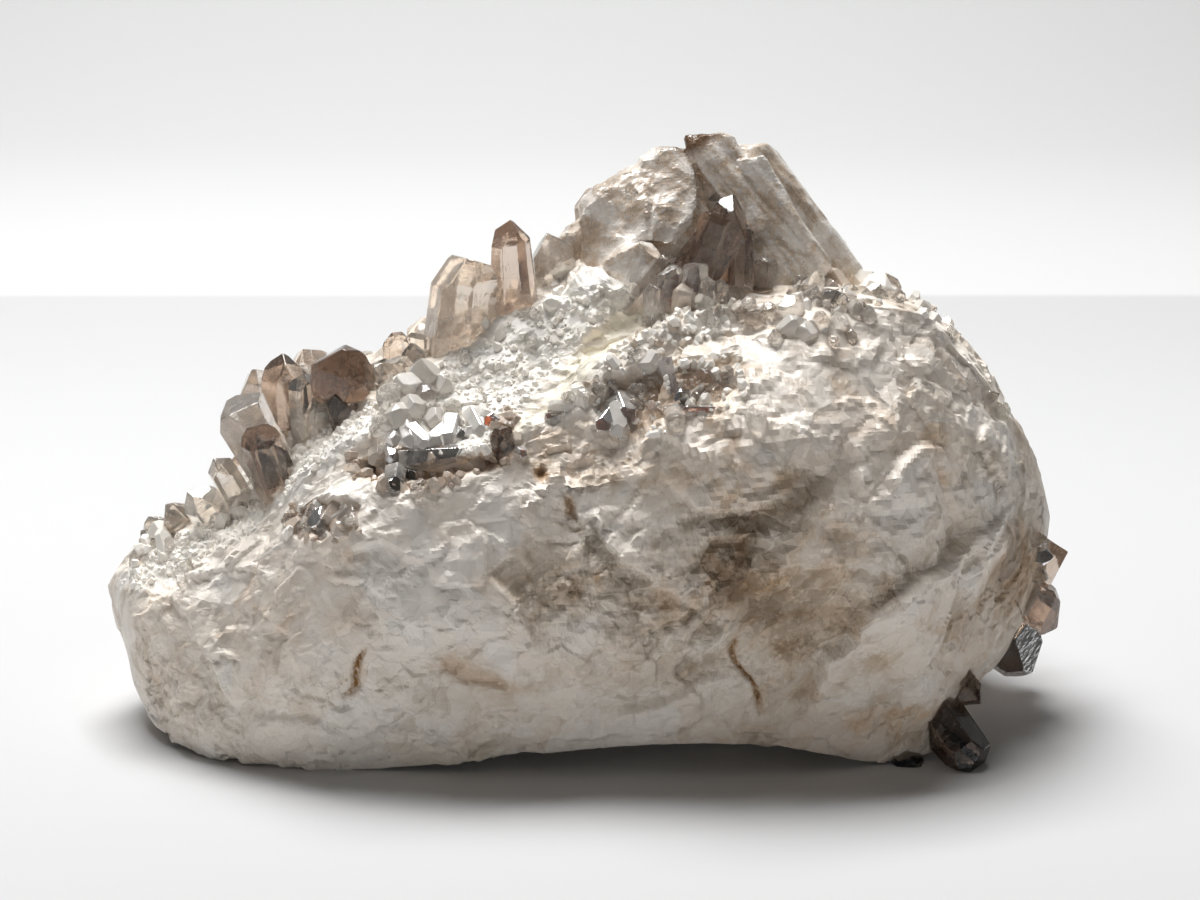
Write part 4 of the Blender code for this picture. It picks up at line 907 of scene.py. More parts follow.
# Crystal groups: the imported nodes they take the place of, up to which share of their length the crystals
# are milky, and healed cracks in each. A crystal is its foot, tip and radius in mm, roll in degrees, how
# much of the tip is broken off, its look and, where it isn't the usual one, its taper.
groups = {
    "crownCrystals": {"nodes": ["crown"], "slot": "smoky_pale", "milk": 0.5, "veils": 3, "crystals": [
        ((23, 12, 80), (46.2, 13, 54.8), 5.6, 12, 0.0, "tan"),
        ((30, 16, 76), (48, 16, 56), 4.2, 35, 0.05, "tan"),
        ((25, 19, 62), (26.5, 17, 87.5), 4.2, 20, 0.3, "tan"),
        ((20, 22, 55), (22, 30, 84), 6.0, 15, 0.0, "tan"),
        ((6, 20, 55), (3, 29, 79), 5.4, 35, 0.1, "tan"),
        ((13, 14, 60), (12, 28, 85), 4.6, 5, 0.1, "milky"),
        ((30, 20, 58), (36, 27, 72), 4.4, 25, 0.1, "mid"),
        ((6, 4, 68), (8.5, 2, 84), 2.0, 5, 0.5, "clear"),
        ((-7.5, 6, 58), (-10.5, 2, 68), 2.4, 25, 0.2, "tan"),
        ((24, 2, 62), (29, -2, 72), 2.4, 30, 0.1, "clear"),
        ((34, 4, 62), (39, 1, 68), 2.2, 10, 0.1, "tan"),
        ((40, 12, 58), (47, 9, 64), 2.6, 45, 0.1, "tan"),
    ]},
    "twistedCrystals": {"nodes": ["twisted_crystal"], "slot": "smoky_dark", "milk": 0.1, "veils": 4,
                        "crystals": [
        ((15, -8, 68), (25.0, -6, 82.0), 3.7, 10, 0.3, "dark"),
        ((22.8, -6, 64), (23.4, -6, 79.5), 2.7, 30, 0.35, "dark"),
        ((17, -9, 70), (21.0, -8.5, 81), 2.6, 50, 0.3, "dark"),
        ((3.5, -11, 60), (13.8, -9, 73.5), 2.0, 20, 0.1, "mid"),
        ((12.5, -11, 60), (13.2, -13, 73), 2.0, 15, 0.2, "clear"),
        ((16.5, -12, 60), (16.8, -14, 74), 2.2, 45, 0.25, "clear"),
        ((20, -12, 60), (20.2, -14, 71), 2.0, 5, 0.2, "clear"),
        ((14.5, -13, 60), (15.0, -16, 70.5), 1.8, 25, 0.2, "tea"),
        ((18.4, -13, 60), (18.6, -16, 71.5), 1.5, 35, 0.1, "clear"),
        ((11.0, -12, 60), (10.4, -14, 70), 1.6, 35, 0.1, "clear"),
        ((27.0, -4, 62), (27.4, -5, 72.6), 1.8, 0, 0.2, "dark"),
    ]},
    "gapCrystals": {"nodes": ["gap_pair", "gap_side_crystal"], "slot": "smoky_mid", "milk": 0.2, "veils": 3,
                    "crystals": [
        ((-19.5, -5, 52), (-17, -6, 74.6), 5.6, 12, 0.2, "pale"),
        ((-10.2, -4, 50), (-11.4, -5.5, 77.4), 3.9, 25, 0, "mid", 0.07),
        ((-3, 1, 58), (-5.5, 0, 75), 3.6, 10, 0.0, "pale"),
    ]},
    "slopeCrystals": {"nodes": ["slope_cluster", "slope_shard_1", "slope_shard_2", "slope_shard_3_1",
                                "slope_shard_3_2"],
                      "slot": "smoky_mid", "milk": 0.2, "veils": 2, "crystals": [
        ((-34, -3, 46), (-37.4, -19, 59.5), 4.8, 8, 0.16, "dark"),
        ((-36, -9, 42), (-36.5, -18, 54), 3.3, 30, 0.1, "mid"),
        ((-46, -8, 38), (-46.3, -8.5, 57.5), 3.5, 15, 0.0, "mid"),
        ((-47, 1, 38), (-51, 0, 55), 4.2, 20, 0.2, "pale"),
        ((-45, -9, 37), (-54.5, -11, 53), 4.8, 12, 0.24, "clear"),
        ((-45, -13, 32), (-49.6, -19.5, 49), 3.4, 10, 0.12, "mid"),
        ((-41.5, -2, 42), (-43, -3, 58.5), 3.3, 0, 0.15, "pale"),
        ((-42, -11, 40), (-43, -12, 56), 2.8, 40, 0.1, "pale"),
        ((-39, -12, 42), (-40, -14, 53), 2.6, 5, 0.1, "pale"),
        ((-28.3, -7, 51), (-29, -8, 61.5), 1.9, 10, 0.1, "mid"),
        ((-25.8, -7, 51), (-25.6, -8, 61.8), 2.1, 30, 0.2, "pale"),
        ((-30.8, -9, 49), (-31, -10, 58), 2.5, 20, 0.1, "pale"),
        ((-52, -8, 32), (-56.5, -12, 42.5), 2.5, 10, 0.1, "pale"),
        ((-55, -9, 29), (-60, -14, 38), 3.0, 30, 0.1, "clear"),
        ((-60, -6, 26), (-65, -9, 34.5), 2.6, 0, 0.1, "pale"),
        ((-64, -3, 24), (-69, -5, 31), 2.2, 25, 0.1, "clear"),
    ]},
    "flankCrystals": {"nodes": ["flank_cluster_1", "flank_cluster_2"], "slot": "smoky_dark", "milk": 0.1,
                      "veils": 2, "crystals": [
        ((64, 1, 27), (76.2, -4, 20.5), 5.0, 10, 0.2, "mid"),
        ((62, -3, 21), (75.3, -7, 14.0), 4.9, 25, 0.15, "mid"),
        ((59, -6, 16), (71.5, -11, 8.0), 4.5, 0, 0.15, "mid"),
        ((62, 4, 18), (74, 6, 11), 4.6, 30, 0.1, "mid"),
    ]},
    "footCrystals": {"nodes": ["foot_crystal", "under_crystal"], "slot": "smoky_dark", "milk": 0.05,
                     "veils": 2, "crystals": [
        ((50, -22, 10), (59.6, -35.5, -0.8), 4.1, 12, 0.18, "night"),
        ((53, -18, 14), (59.5, -27, 7.5), 2.6, 30, 0.1, "night"),
        ((45, -22, 6), (49.5, -34, -2.5), 2.7, 5, 0.1, "night"),
    ]},
}


# The body of the crown: corners of its broken blocks in mm, welded and roughened like broken quartz
crownBody = {
    "voxel": 0.55,
    # size, lift, tilt and bowl
    "shells": [(7.0, 0.9, 0.8, 1.2), (3.2, 0.4, 0.4, 0.6), (1.6, 0.15, 0.15, 0.28)],
    "smoothPrism": 0.65,  # how much flatter the shells are on the smoky prism
    "darkEnd": (15.5, 8, 90.5),  # where the end of the spar is dark
    "grooves": 0.35,  # depth of the grooves along the smoky prism
    "blocks": {
        "milky mass": [
            (-6.3, 8, 69.4), (-0.4, 8, 75.1), (1.8, 8, 78.9), (6.2, 8, 83), (10.2, 8, 84.9),
            (16.5, 9, 85.4), (19.8, 2, 77.8), (17.9, -1, 71), (8.6, -2, 67.4), (-3.8, 2, 66),
            (-6, 20, 67.2), (0.8, 22, 75.8), (8.9, 22, 81.6), (16.9, 22, 83.2), (18.8, 26, 63.2),
            (-4.1, 24, 63.2),
        ],
        "pale front face": [
            (-1.2, 0, 77.1), (0.5, 1, 80), (2.4, 3, 82.1), (3.3, 1, 81), (3.3, -4, 68),
            (-0.2, -4, 65.5), (0.8, 12, 78.6), (3.4, 12, 80.2), (2.4, 8, 64.9),
        ],
        "left shoulder": [
            (-8, 5, 69.9), (-3.8, 2, 74.2), (-0.4, 2, 76.1), (0.9, -2, 65.2), (-7.3, 1, 64),
            (-6.4, 14, 68.3), (0, 16, 73.5), (0.8, 16, 63.4),
        ],
        "stepped block": [
            (3.3, 3, 82.2), (5.8, 4, 84.1), (8.6, 5, 85), (9.8, -1, 80.6), (8.5, -5, 71.7),
            (3.3, -4, 69.3), (4.3, 12, 81.8), (8.7, 12, 84.4), (8.7, 8, 68.1),
        ],
        "leaning block": [
            (8.6, 5, 86), (12.7, 5, 85.8), (14.3, 7, 87.6), (16.4, 6, 86.2), (17.6, 1, 79.5),
            (14.1, -4, 73.4), (9.5, -3, 75.4), (8.7, 14, 84.7), (16.7, 15, 86.2), (16.7, 12, 72.2),
        ],
        "low block": [
            (2.4, -6, 71.8), (8.5, -8, 75.6), (12.7, -9, 72.4), (11.5, -10, 66.7), (3.3, -8, 65.4),
            (2.4, 6, 69.7), (13.1, 6, 69.7),
        ],
        "smoky prism": [
            (18.1, 10, 86.9), (27, 8, 87.6), (29.2, 12, 87.8), (31.1, 14, 85.8), (35.8, 12, 78.9),
            (41.4, 10, 71.3), (44.1, 10, 67.7), (43.4, 10, 64.2), (33.7, 2, 63.4), (24.2, 0, 64.8),
            (18, 2, 70.4), (29, 22, 85.5), (36.9, 24, 75.9), (44.6, 20, 65.1), (43.5, 22, 61.9),
            (22.1, 26, 61.5), (19.4, 22, 81.9),
        ],
        "front blade": [
            (24.5, 4, 86.1), (27.9, 5, 86.6), (35.3, 1, 74.7), (38.6, 3, 70.2), (37, 1, 65.9),
            (29.6, -3, 65.4), (24.4, -1, 71), (25.8, 12, 83.7), (38.4, 12, 68.7), (30.9, 8, 64.6),
        ],
        "spar": [
            (15.7, 8, 89.6), (18.6, 6, 90.2), (23.1, 7, 89.5), (23.9, 9, 87), (16.6, 10, 86.2),
            (15.8, 6, 87.4), (27.8, 0, 77.1), (24.6, -1, 75.7), (28.7, 6, 77.7), (18.2, 14, 88.4),
            (23.8, 14, 87.7), (28.4, 8, 76.1),
        ],
    },
}


def makeCrownBody(material):
    hulls = bmesh.new()
    for corners in crownBody["blocks"].values():
        verts = [hulls.verts.new(tuple((np.array(corner) + recentre) * mm)) for corner in corners]
        hull = bmesh.ops.convex_hull(hulls, input=verts)
        bmesh.ops.delete(hulls, geom=list(set(hull["geom_interior"] + hull["geom_unused"])), context="VERTS")
    mesh = bpy.data.meshes.new("crown body")
    hulls.to_mesh(mesh)
    hulls.free()
    body = place("crownBody", mesh)
    weld = body.modifiers.new("Weld", "REMESH")
    weld.mode = "VOXEL"
    weld.voxel_size = crownBody["voxel"] * mm
    shaped(body)
    points = pointsOf(body.data) / mm - recentre
    normals = normalsOf(body.data)
    lift = np.zeros(len(points))
    edges = np.zeros(len(points))
    right = smoothStep(14, 20, points[:, 0] + 0.2 * (points[:, 2] - 70))
    for level, (size, height, tilt, bowl) in enumerate(crownBody["shells"]):
        sunk, border, _ = scallops(points, size, height, tilt, bowl, 2600 + 100 * level)
        lift += (sunk - sunk.mean()) * (1 - crownBody["smoothPrism"] * right)
        # painted highlight along the shell ridges, partly also paler broken quartz there
        edges += np.exp(-(border / 0.10) ** 2) * 0.5
    across = points[:, 0] * 0.79 + points[:, 2] * 0.61 + 0.3 * points[:, 1]
    alongPrism = np.stack([across / 1.5, points[:, 1] / 8, points[:, 2] / 30], axis=1)
    lift += crownBody["grooves"] * right * softNoise(alongPrism, 91)
    movePoints(body.data, points + normals * lift[:, None])
    setValues(body.data, "edge", edges)
    setValues(body.data, "right", right)
    fromEnd = np.linalg.norm((points - crownBody["darkEnd"]) / (1.3, 2, 1), axis=1)
    setValues(body.data, "spar", smoothStep(4.8, 3.0, fromEnd))
    body.data.materials.append(material)
    return body


def standOnFloor(mesh):
    # nothing reaches below the floor
    points = pointsOf(mesh)
    points[:, 2] = np.maximum(points[:, 2], 0.0)
    mesh.vertices.foreach_set("co", points.astype(np.float32).ravel())


def makeGroups(materials, veilPile):
    for order, (name, group) in enumerate(groups.items()):
        crystals = []
        for number, (foot, tip, radius, roll, broken, look, *taper) in enumerate(group["crystals"]):
            seed = 1000 + 50 * order + number
            veilCount = group["veils"] if radius > 3 else 0
            crystals.append(makeCrystal(veilPile, foot, tip, radius, roll, broken, look, seed, group["milk"],
                                        veilCount, *taper))
        thing = meltTogether(name, crystals, materials)
        if name == "crownCrystals":
            join(thing, makeCrownBody(materials["crown"]))
        standOnFloor(thing.data)
        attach(thing, "root")
        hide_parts(*group["nodes"])
        print(name, len(thing.data.polygons), "faces")


# Small crystals that stand on the stone, each with a coat of smaller ones: x and z where the camera sees
# them on the plane of the face, direction, length and radius in mm, look
small = {
    "vugCrystals": {"coat": "crestDruse", "nodes": ["vug_crust"], "slot": "smoky_mid", "crystals": [
        (10.1, 59.3, (-0.1, -0.9, 0.3), 3.2, 1.7, "mid"),
        (5.3, 57.9, (-0.65, -0.35, 0.7), 4.2, 0.75, "clear"),
        (7.0, 57.5, (0.25, -0.5, 0.8), 3.6, 1, "clear"),
        (8.2, 58.1, (0.1, -0.7, 0.6), 3, 0.8, "clear"),
        (12.8, 59.3, (0.25, -0.6, -0.7), 3.2, 0.9, "clear"),
        (2.8, 58.2, (-0.3, -0.8, 0.4), 2.8, 1.3, "mid"),
        (4.1, 55.1, (-0.3, -0.9, -0.2), 3.4, 2.3, "clear"),
        (6.2, 54.2, (0.2, -0.9, -0.3), 3.2, 2.1, "clear"),
        (3.0, 53.3, (-0.4, -0.8, -0.3), 2.6, 1.6, "clear"),
        (7.3, 56.0, (0.4, -0.8, 0.1), 2.6, 1.5, "clear"),
        (5.0, 52.7, (0.1, -0.8, -0.6), 2.6, 1.4, "milky"),
        (13.4, 53.8, (0.1, -0.9, -0.1), 2.8, 1.5, "clear"),
        (17.5, 55.3, (-0.95, -0.25, 0.1), 4.4, 0.85, "clear"),
        (9.6, 62.5, (-0.2, -0.8, 0.5), 3, 2, "milky"),
        (11.9, 61.6, (0.3, -0.8, 0.4), 2.8, 1.7, "clear"),
        (8.2, 63.4, (-0.5, -0.6, 0.6), 2.4, 1.4, "clear"),
        (-3.1, 55.7, (-0.9, -0.3, 0.2), 3.6, 1.3, "milky"),
        (-4.0, 54.8, (-0.8, -0.4, -0.2), 2.6, 0.9, "clear"),
        (-1.6, 56.9, (-0.6, -0.5, 0.6), 3, 1.2, "clear"),
        (15.4, 59.3, (0.1, -0.8, 0.4), 3.4, 1.8, "dark"),
        (17.4, 59.9, (0.4, -0.7, 0.5), 3.2, 1.5, "dark"),
        (18.9, 58.1, (0.2, -0.8, -0.1), 2.8, 1.4, "mid"),
        (16.6, 57.2, (-0.2, -0.9, 0.1), 2.6, 1.3, "dark"),
        (14.4, 57.5, (-0.3, -0.8, -0.3), 2.4, 1.2, "dark"),
        (20.0, 60.8, (0.6, -0.6, 0.4), 3.2, 1.2, "mid"),
        (22.0, 59.6, (0.7, -0.6, 0.2), 3, 1.1, "pale"),
        (25.1, 53.9, (0.3, -0.9, 0.1), 3, 1.6, "clear"),
        (10.4, 57.2, (-0.1, -0.9, -0.3), 2.6, 1.2, "mid"),
        (11.1, 55.1, (0.2, -0.9, 0), 2.2, 1, "mid"),
        (0.7, 57.5, (-0.7, -0.5, 0.4), 2.8, 1.1, "clear"),
        (21.6, 71.6, (-0.5, -0.5, 0.7), 3.4, 1.9, "mid"),
        (22.7, 69.3, (0.2, -0.8, 0.5), 2.6, 1.3, "dark"),
        (24.8, 68.4, (0.3, -0.7, 0.5), 2.8, 1.5, "dark"),
        (26.5, 69.9, (0.5, -0.6, 0.6), 2.4, 1.2, "pale"),
        (23.6, 70.7, (0.1, -0.6, 0.8), 2.8, 1.2, "clear"),
    ]},
    "pocketCrystals": {"coat": "pocketDruse", "nodes": ["pocket_crust"], "slot": "smoky_dark", "crystals": [
        (-20.9, 47.7, (0.96, -0.25, -0.1), 9.6, 2.1, "cocoa"),
        (-21.4, 48.6, (0.9, -0.3, 0.2), 6, 1.5, "pale"),
        (-11.0, 49.2, (-0.25, -0.45, 0.9), 6.4, 2, "dark"),
        (-12.1, 50.1, (-0.4, -0.7, 0.5), 3.8, 1.6, "dark"),
        (-12.7, 48.7, (-0.2, -0.9, -0.2), 2.6, 1.2, "tea"),
        (-23.8, 43.5, (-0.1, -0.8, 0.6), 3.2, 1.5, "clear"),
        (-22.0, 48.3, (0.1, -0.9, 0.2), 2.8, 1.2, "cocoa"),
        (-30.8, 46.5, (-0.2, -0.9, 0.2), 3.4, 2.2, "mid"),
        (-28.4, 45.9, (0.1, -0.9, -0.1), 3.4, 2.3, "cocoa"),
        (-26.4, 46.8, (0.2, -0.9, 0.2), 3.2, 2, "mid"),
        (-32.5, 47.1, (-0.4, -0.8, 0.3), 2.8, 1.6, "cocoa"),
        (-27.6, 44.4, (0, -0.9, -0.2), 2.8, 1.7, "dark"),
        (-25.0, 45.3, (0.3, -0.8, 0), 2.6, 1.5, "dark"),
        (-29.9, 48.3, (0, -0.8, -0.4), 2.6, 1.5, "tea"),
        (-27.8, 48.6, (0.2, -0.8, -0.4), 2.4, 1.3, "clear"),
        (-25.2, 48.3, (0.3, -0.8, -0.3), 2.6, 1.5, "mid"),
        (-10.1, 51.0, (0.2, -0.8, 0.4), 2.8, 1.2, "tea"),
        (-9.2, 49.2, (0.5, -0.8, -0.1), 2.6, 0.9, "clear"),
    ]},
    "nestCrystals": {"coat": "nestDruse", "nodes": ["nest_crust"], "slot": "smoky_mid", "crystals": [
        (-41.9, 38.0, (-0.3, -0.9, 0.1), 2.8, 1.7, "cocoa"),
        (-42.9, 39.0, (-0.5, -0.8, 0.3), 2.4, 1.2, "mid"),
        (-40.6, 37.1, (0, -0.9, -0.2), 2.4, 1.3, "pale"),
        (-38.2, 39.0, (0, -0.9, 0.2), 3.4, 2.2, "pale"),
        (-36.1, 39.9, (0.2, -0.8, 0.4), 3.2, 2, "cocoa"),
        (-34.1, 39.0, (0.4, -0.8, 0.3), 3.4, 2.2, "pale"),
        (-35.3, 37.4, (0.2, -0.9, -0.1), 2.8, 1.7, "cocoa"),
        (-37.7, 36.8, (0, -0.9, -0.3), 2.4, 1.4, "pale"),
        (-39.5, 39.9, (-0.2, -0.8, 0.5), 2.6, 1.2, "clear"),
        (-33.5, 40.8, (0.4, -0.6, 0.6), 2.6, 1.3, "pale"),
    ]},
    "bandTeeth": {"coat": "bandDruse", "nodes": [], "slot": "milky", "crystals": [
        (-25.2, 51.0, (0.2, -0.75, -0.35), 2.4, 1.4, "milky"),
        (-23.2, 50.6, (0.6, -0.7, -0.3), 2.3, 1.3, "milky"),
        (-21.4, 50.9, (-0.5, -0.8, -0.2), 3.0, 1.6, "milky"),
        (-27.6, 51.2, (0.1, -0.8, -0.4), 2.3, 1.3, "milky"),
        (-19.6, 51.3, (-0.1, -0.8, -0.45), 2.6, 1.4, "milky"),
        (-17.8, 51.6, (0.5, -0.75, -0.2), 2.3, 1.3, "pale"),
        (-16.2, 52.0, (-0.4, -0.85, 0.1), 2.6, 1.3, "milky"),
        (-14.7, 52.7, (0.3, -0.85, -0.3), 3.2, 1.5, "milky"),
        (-13.5, 53.9, (0.4, -0.8, 0.1), 3.4, 1.5, "clear"),
        (-28.9, 52.7, (-0.3, -0.8, 0.3), 3.6, 1.9, "clear"),
        (-27.1, 54.2, (-0.6, -0.8, 0.2), 3.4, 2.2, "milky"),
        (-24.8, 55.4, (0, -0.8, 0.6), 4, 2.3, "milky"),
        (-27.7, 57.2, (-0.4, -0.6, 0.7), 4.2, 2.2, "clear"),
        (-25.3, 58.7, (-0.3, -0.5, 0.8), 4.2, 2.4, "milky"),
        (-22.8, 57.2, (0.1, -0.7, 0.6), 3.8, 2, "clear"),
        (-22.9, 60.2, (-0.1, -0.4, 0.9), 4.2, 2.4, "milky"),
        (-20.7, 58.7, (0.2, -0.6, 0.7), 3.4, 1.8, "milky"),
        (-21.4, 53.9, (0.1, -0.85, 0.4), 3.4, 1.8, "milky"),
        (-19.0, 55.4, (0.2, -0.8, 0.5), 3, 1.5, "clear"),
        (-26.5, 61.0, (-0.5, -0.3, 0.8), 4.4, 2.2, "pale"),
        (-28.2, 60.2, (-0.6, -0.3, 0.7), 4.2, 2, "pale"),
        (-24.3, 62.5, (-0.2, -0.2, 0.95), 4.2, 2, "pale"),
        (5.0, 71.3, (0.5, -0.7, 0.4), 4.4, 1.9, "clear"),
        (3.3, 70.4, (-0.3, -0.8, 0.4), 3, 1.4, "clear"),
    ]},
    "crestCrystals": {"coat": "rightDruse", "nodes": [], "slot": "smoky_pale", "crystals": [
        (31.1, 71.6, (-0.2, -0.6, 0.8), 4, 2.3, "clear"),
        (29.7, 70.4, (-0.5, -0.7, 0.5), 3.6, 2, "clear"),
        (33.1, 71.3, (0.1, -0.6, 0.8), 4.2, 2.4, "clear"),
        (35.4, 71.0, (0.3, -0.6, 0.7), 4, 2.2, "pale"),
        (37.3, 71.6, (0.4, -0.5, 0.8), 3.6, 1.8, "clear"),
        (31.4, 73.4, (-0.2, -0.3, 0.9), 3.4, 1.5, "clear"),
        (33.3, 73.9, (0.2, -0.3, 0.9), 3, 1.3, "clear"),
        (30.0, 67.2, (0, -0.9, 0.3), 3.4, 2.6, "milky"),
        (32.0, 66.6, (0.2, -0.9, 0.2), 3, 2, "milky"),
        (34.0, 68.4, (0.2, -0.8, 0.5), 3, 1.6, "pale"),
        (36.9, 68.4, (0.3, -0.7, 0.6), 2.8, 1.5, "clear"),
        (39.2, 69.9, (0.2, -0.5, 0.8), 3, 1.5, "pale"),
        (40.9, 69.3, (-0.1, -0.6, 0.7), 2.6, 1.4, "clear"),
        (42.6, 72.2, (0, -0.3, 0.9), 2.6, 1.5, "clear"),
        (44.9, 71.6, (0.2, -0.3, 0.9), 2.6, 1.3, "pale"),
        (47.2, 71.9, (0.1, -0.3, 0.9), 2.4, 1.4, "clear"),
        (49.8, 71.0, (0.3, -0.3, 0.9), 2.4, 1.4, "pale"),
        (27.7, 66.1, (-0.2, -0.9, 0.2), 2.6, 1.3, "pale"),
        (35.8, 65.5, (0.1, -0.9, 0.2), 2.4, 1.2, "mid"),
        (38.4, 66.3, (0.2, -0.9, 0.3), 2.2, 1.1, "mid"),
        (55.6, 58.7, (0.8, -0.3, 0.5), 2.8, 1.5, "pale"),
        (58.1, 56.9, (0.8, -0.2, 0.5), 3, 1.6, "pale"),
        (60.3, 55.1, (0.85, -0.2, 0.5), 2.8, 1.4, "clear"),
        (66.0, 35.9, (0.9, -0.4, 0.1), 2.6, 1.4, "mid"),
        (66.8, 33.5, (0.9, -0.4, 0), 2.8, 1.5, "pale"),
        (66.6, 30.6, (0.9, -0.4, -0.1), 2.8, 1.4, "mid"),
    ]},
}

# Crystals scattered over parts of the stone, on patches or in a box where the stone faces one way: how many
# at most, spacing and radius in mm, how far they lean, looks, how far up they are milky and which share of
# their length is buried where it isn't the usual one
usuallyBuried = 0.35
coats = {
    "bandDruse": {"patches": ["band", "left band"], "count": 1500, "spacing": 0.6, "sizes": (0.2, 0.7),
                  "lean": 0.7, "looks": ["frost"], "milk": 1.2, "buried": 0.6, "seed": 11},
    "crestDruse": {"patches": ["second crest", "vug"], "count": 330, "spacing": 1.0, "sizes": (0.3, 0.9),
                   "lean": 0.8, "looks": ["frost", "clear", "frost", "frost", "tea"], "milk": 0.6,
                   "seed": 12},
    "rightDruse": {"patches": ["right crest"], "count": 55, "spacing": 1.6, "sizes": (0.5, 1.4),
                   "lean": 0.8, "looks": ["frost", "pale", "clear", "frost"], "milk": 0.5, "seed": 13},
    "pocketDruse": {"patches": ["pocket"], "count": 170, "spacing": 0.7, "sizes": (0.35, 0.9),
                    "lean": 0.8, "looks": ["cocoa", "tea", "cocoa"], "milk": 0.6, "seed": 14},
    "nestDruse": {"patches": ["nest"], "count": 60, "spacing": 0.7, "sizes": (0.35, 0.8),
                  "lean": 0.8, "looks": ["tea", "cocoa", "frost"], "milk": 0.4, "seed": 15},
    "topDruse": {"box": ((-70, 22), (-14, 16), (20, 72)), "facing": (-0.1, 0.2, 1), "least": 0.45,
                 "count": 260, "spacing": 1.9, "sizes": (0.7, 1.9), "lean": 0.7,
                 "looks": ["pale", "clear", "frost", "frost"], "milk": 0.5, "seed": 16},
    "backDruse": {"box": ((-66, 58), (2, 60), (8, 70)), "facing": (0, 1, 0.25), "least": 0.25, "count": 420,
                  "spacing": 2.6, "sizes": (0.8, 2.6), "lean": 0.8,
                  "looks": ["pale", "mid", "frost", "tea", "milky"], "milk": 0.35, "seed": 17},
}

# Crystals of the hidden side: x and z from and to, count, radius and length in mm, seed
backGroups = {
    "back left": ((-50, -22), (16, 38), 7, 5.4, 13.0, 3),
    "back middle": ((-14, 12), (16, 46), 8, 6.6, 14.0, 5),
    "back right": ((22, 46), (16, 42), 7, 6.0, 13.0, 8),
    "back end": ((52, 62), (20, 40), 4, 4.6, 10.0, 9),
}
backNodes = (["back_left_%d" % number for number in range(1, 7)] + ["back_middle"]
             + ["back_right_%d" % number for number in range(1, 5)]
             + ["back_end_%d" % number for number in range(1, 4)])


def makePatterns():
    # crystals of radius 1 that are copied for the scattered ones: points, faces and length
    made = []
    for number in range(16):
        chance = random.Random(4000 + number)
        length = (1.4, 1.9, 2.5, 3.4)[number % 4]
        broken = chance.choice((0, 0, 0.15, 0.3))
        planes = crystalPlanes(1.0, length, broken, chance, 0.8, chance.choice((0.02, 0.12)))
        solid = insidePlanes(planes, 0.04)
        solid.verts.index_update()
        points = np.array([tuple(vert.co) for vert in solid.verts])
        made.append((points, [[vert.index for vert in face.verts] for face in solid.faces], length))
        solid.free()
    return made


def addPattern(pile, pattern, foot, tip, radius, roll, look, seed, milk):
    # a copy of a pattern from foot to tip
    points, faces, length = pattern
    long = (Vector(tip) - Vector(foot)).length
    local = points * (radius, radius, long / length)
    fading = np.clip(1 - local[:, 2] / (milk * long), 0, 1)
    addShape(pile, local, faces, aimMatrix(foot, tip, roll), look, seed, fading)


def join(thing, other):
    # adds the other piece's mesh to the first piece
    with bpy.context.temp_override(active_object=thing, selected_editable_objects=[thing, other]):
        bpy.ops.object.join()


def onStone(start, direction):
    # where a line meets the stone: place and normal in mm
    return stoneTree.ray_cast(Vector(start), Vector(direction).normalized())[:2]


def coatPlaces(coat):
    # numbers of the stone's points on which a coat may grow
    if "patches" in coat:
        mask = np.max([patch(name, stonePoints, stoneNormals) for name in coat["patches"]], axis=0)
        mask *= 1 - patch("band groove", stonePoints, stoneNormals, 0.6)
    else:
        mask = np.ones(len(stonePoints))
        for axis, (lowest, highest) in enumerate(coat["box"]):
            mask *= (stonePoints[:, axis] > lowest) & (stonePoints[:, axis] < highest)
        facing = np.array(coat["facing"]) / np.linalg.norm(coat["facing"])
        mask *= stoneNormals @ facing > coat["least"]
        mask *= layeredNoise(stonePoints / 11, coat["seed"] + 700, 2) > -0.25
    return np.flatnonzero(mask > 0.5)


def scatterOver(coat, pile, patterns):
    picked = np.random.default_rng(coat["seed"])
    buried = coat.get("buried", usuallyBuried)
    low, high = coat["sizes"]
    taken = set()
    standing = 0
    for index in picked.permutation(coatPlaces(coat)):
        foot = stonePoints[index]
        cell = tuple(np.floor(foot / coat["spacing"]).astype(int))
        if cell in taken:
            continue
        taken.add(cell)
        direction = stoneNormals[index] + picked.uniform(-1, 1, 3) * coat["lean"] + np.array((0, -0.05, 0.2))
        direction /= np.linalg.norm(direction)
        radius = low + (high - low) * picked.uniform(0, 1) ** 2.2
        pattern = patterns[picked.integers(len(patterns))]
        long = radius * pattern[2] * picked.uniform(0.75, 1.15)
        look = coat["looks"][picked.integers(len(coat["looks"]))]
        addPattern(pile, pattern, foot - direction * buried * long, foot + direction * (1 - buried) * long,
                   radius, picked.uniform(0, 60), look, coat["seed"] * 1000 + standing, coat["milk"])
        standing += 1
        if standing >= coat["count"]:
            break
    return standing


def makeSmall(materials, veilPile, patterns):
    eye = np.array(studio["cameraPlace"])
    for order, (name, piece) in enumerate(small.items()):
        nodes, slot = piece["nodes"], piece["slot"]
        crystals = []
        for number, (x, z, direction, length, radius, look) in enumerate(piece["crystals"]):
            found, _ = onStone(eye, np.array((x, facePlane, z)) - eye)
            if found is None:
                continue
            way = Vector(direction).normalized()
            broken = (0.0, 0.2, 0.05)[number % 3]
            taper = (0.02, 0.1, 0.05)[number % 3]
            seed = 5000 + 100 * order + number
            crystals.append(makeCrystal(veilPile, found - way * 0.45 * length, found + way * 0.75 * length,
                                        radius * 0.95, 37 * number % 60, broken, look, seed, 0.3, 0, taper))
        thing = meltTogether(name, crystals, materials)
        pile = newPile()
        standing = scatterOver(coats[piece["coat"]], pile, patterns)
        join(thing, pileMesh(name, pile, materials))
        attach(thing, "root")
        if nodes:
            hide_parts(*nodes)
        print(name, len(crystals), "placed and", standing, "scattered")


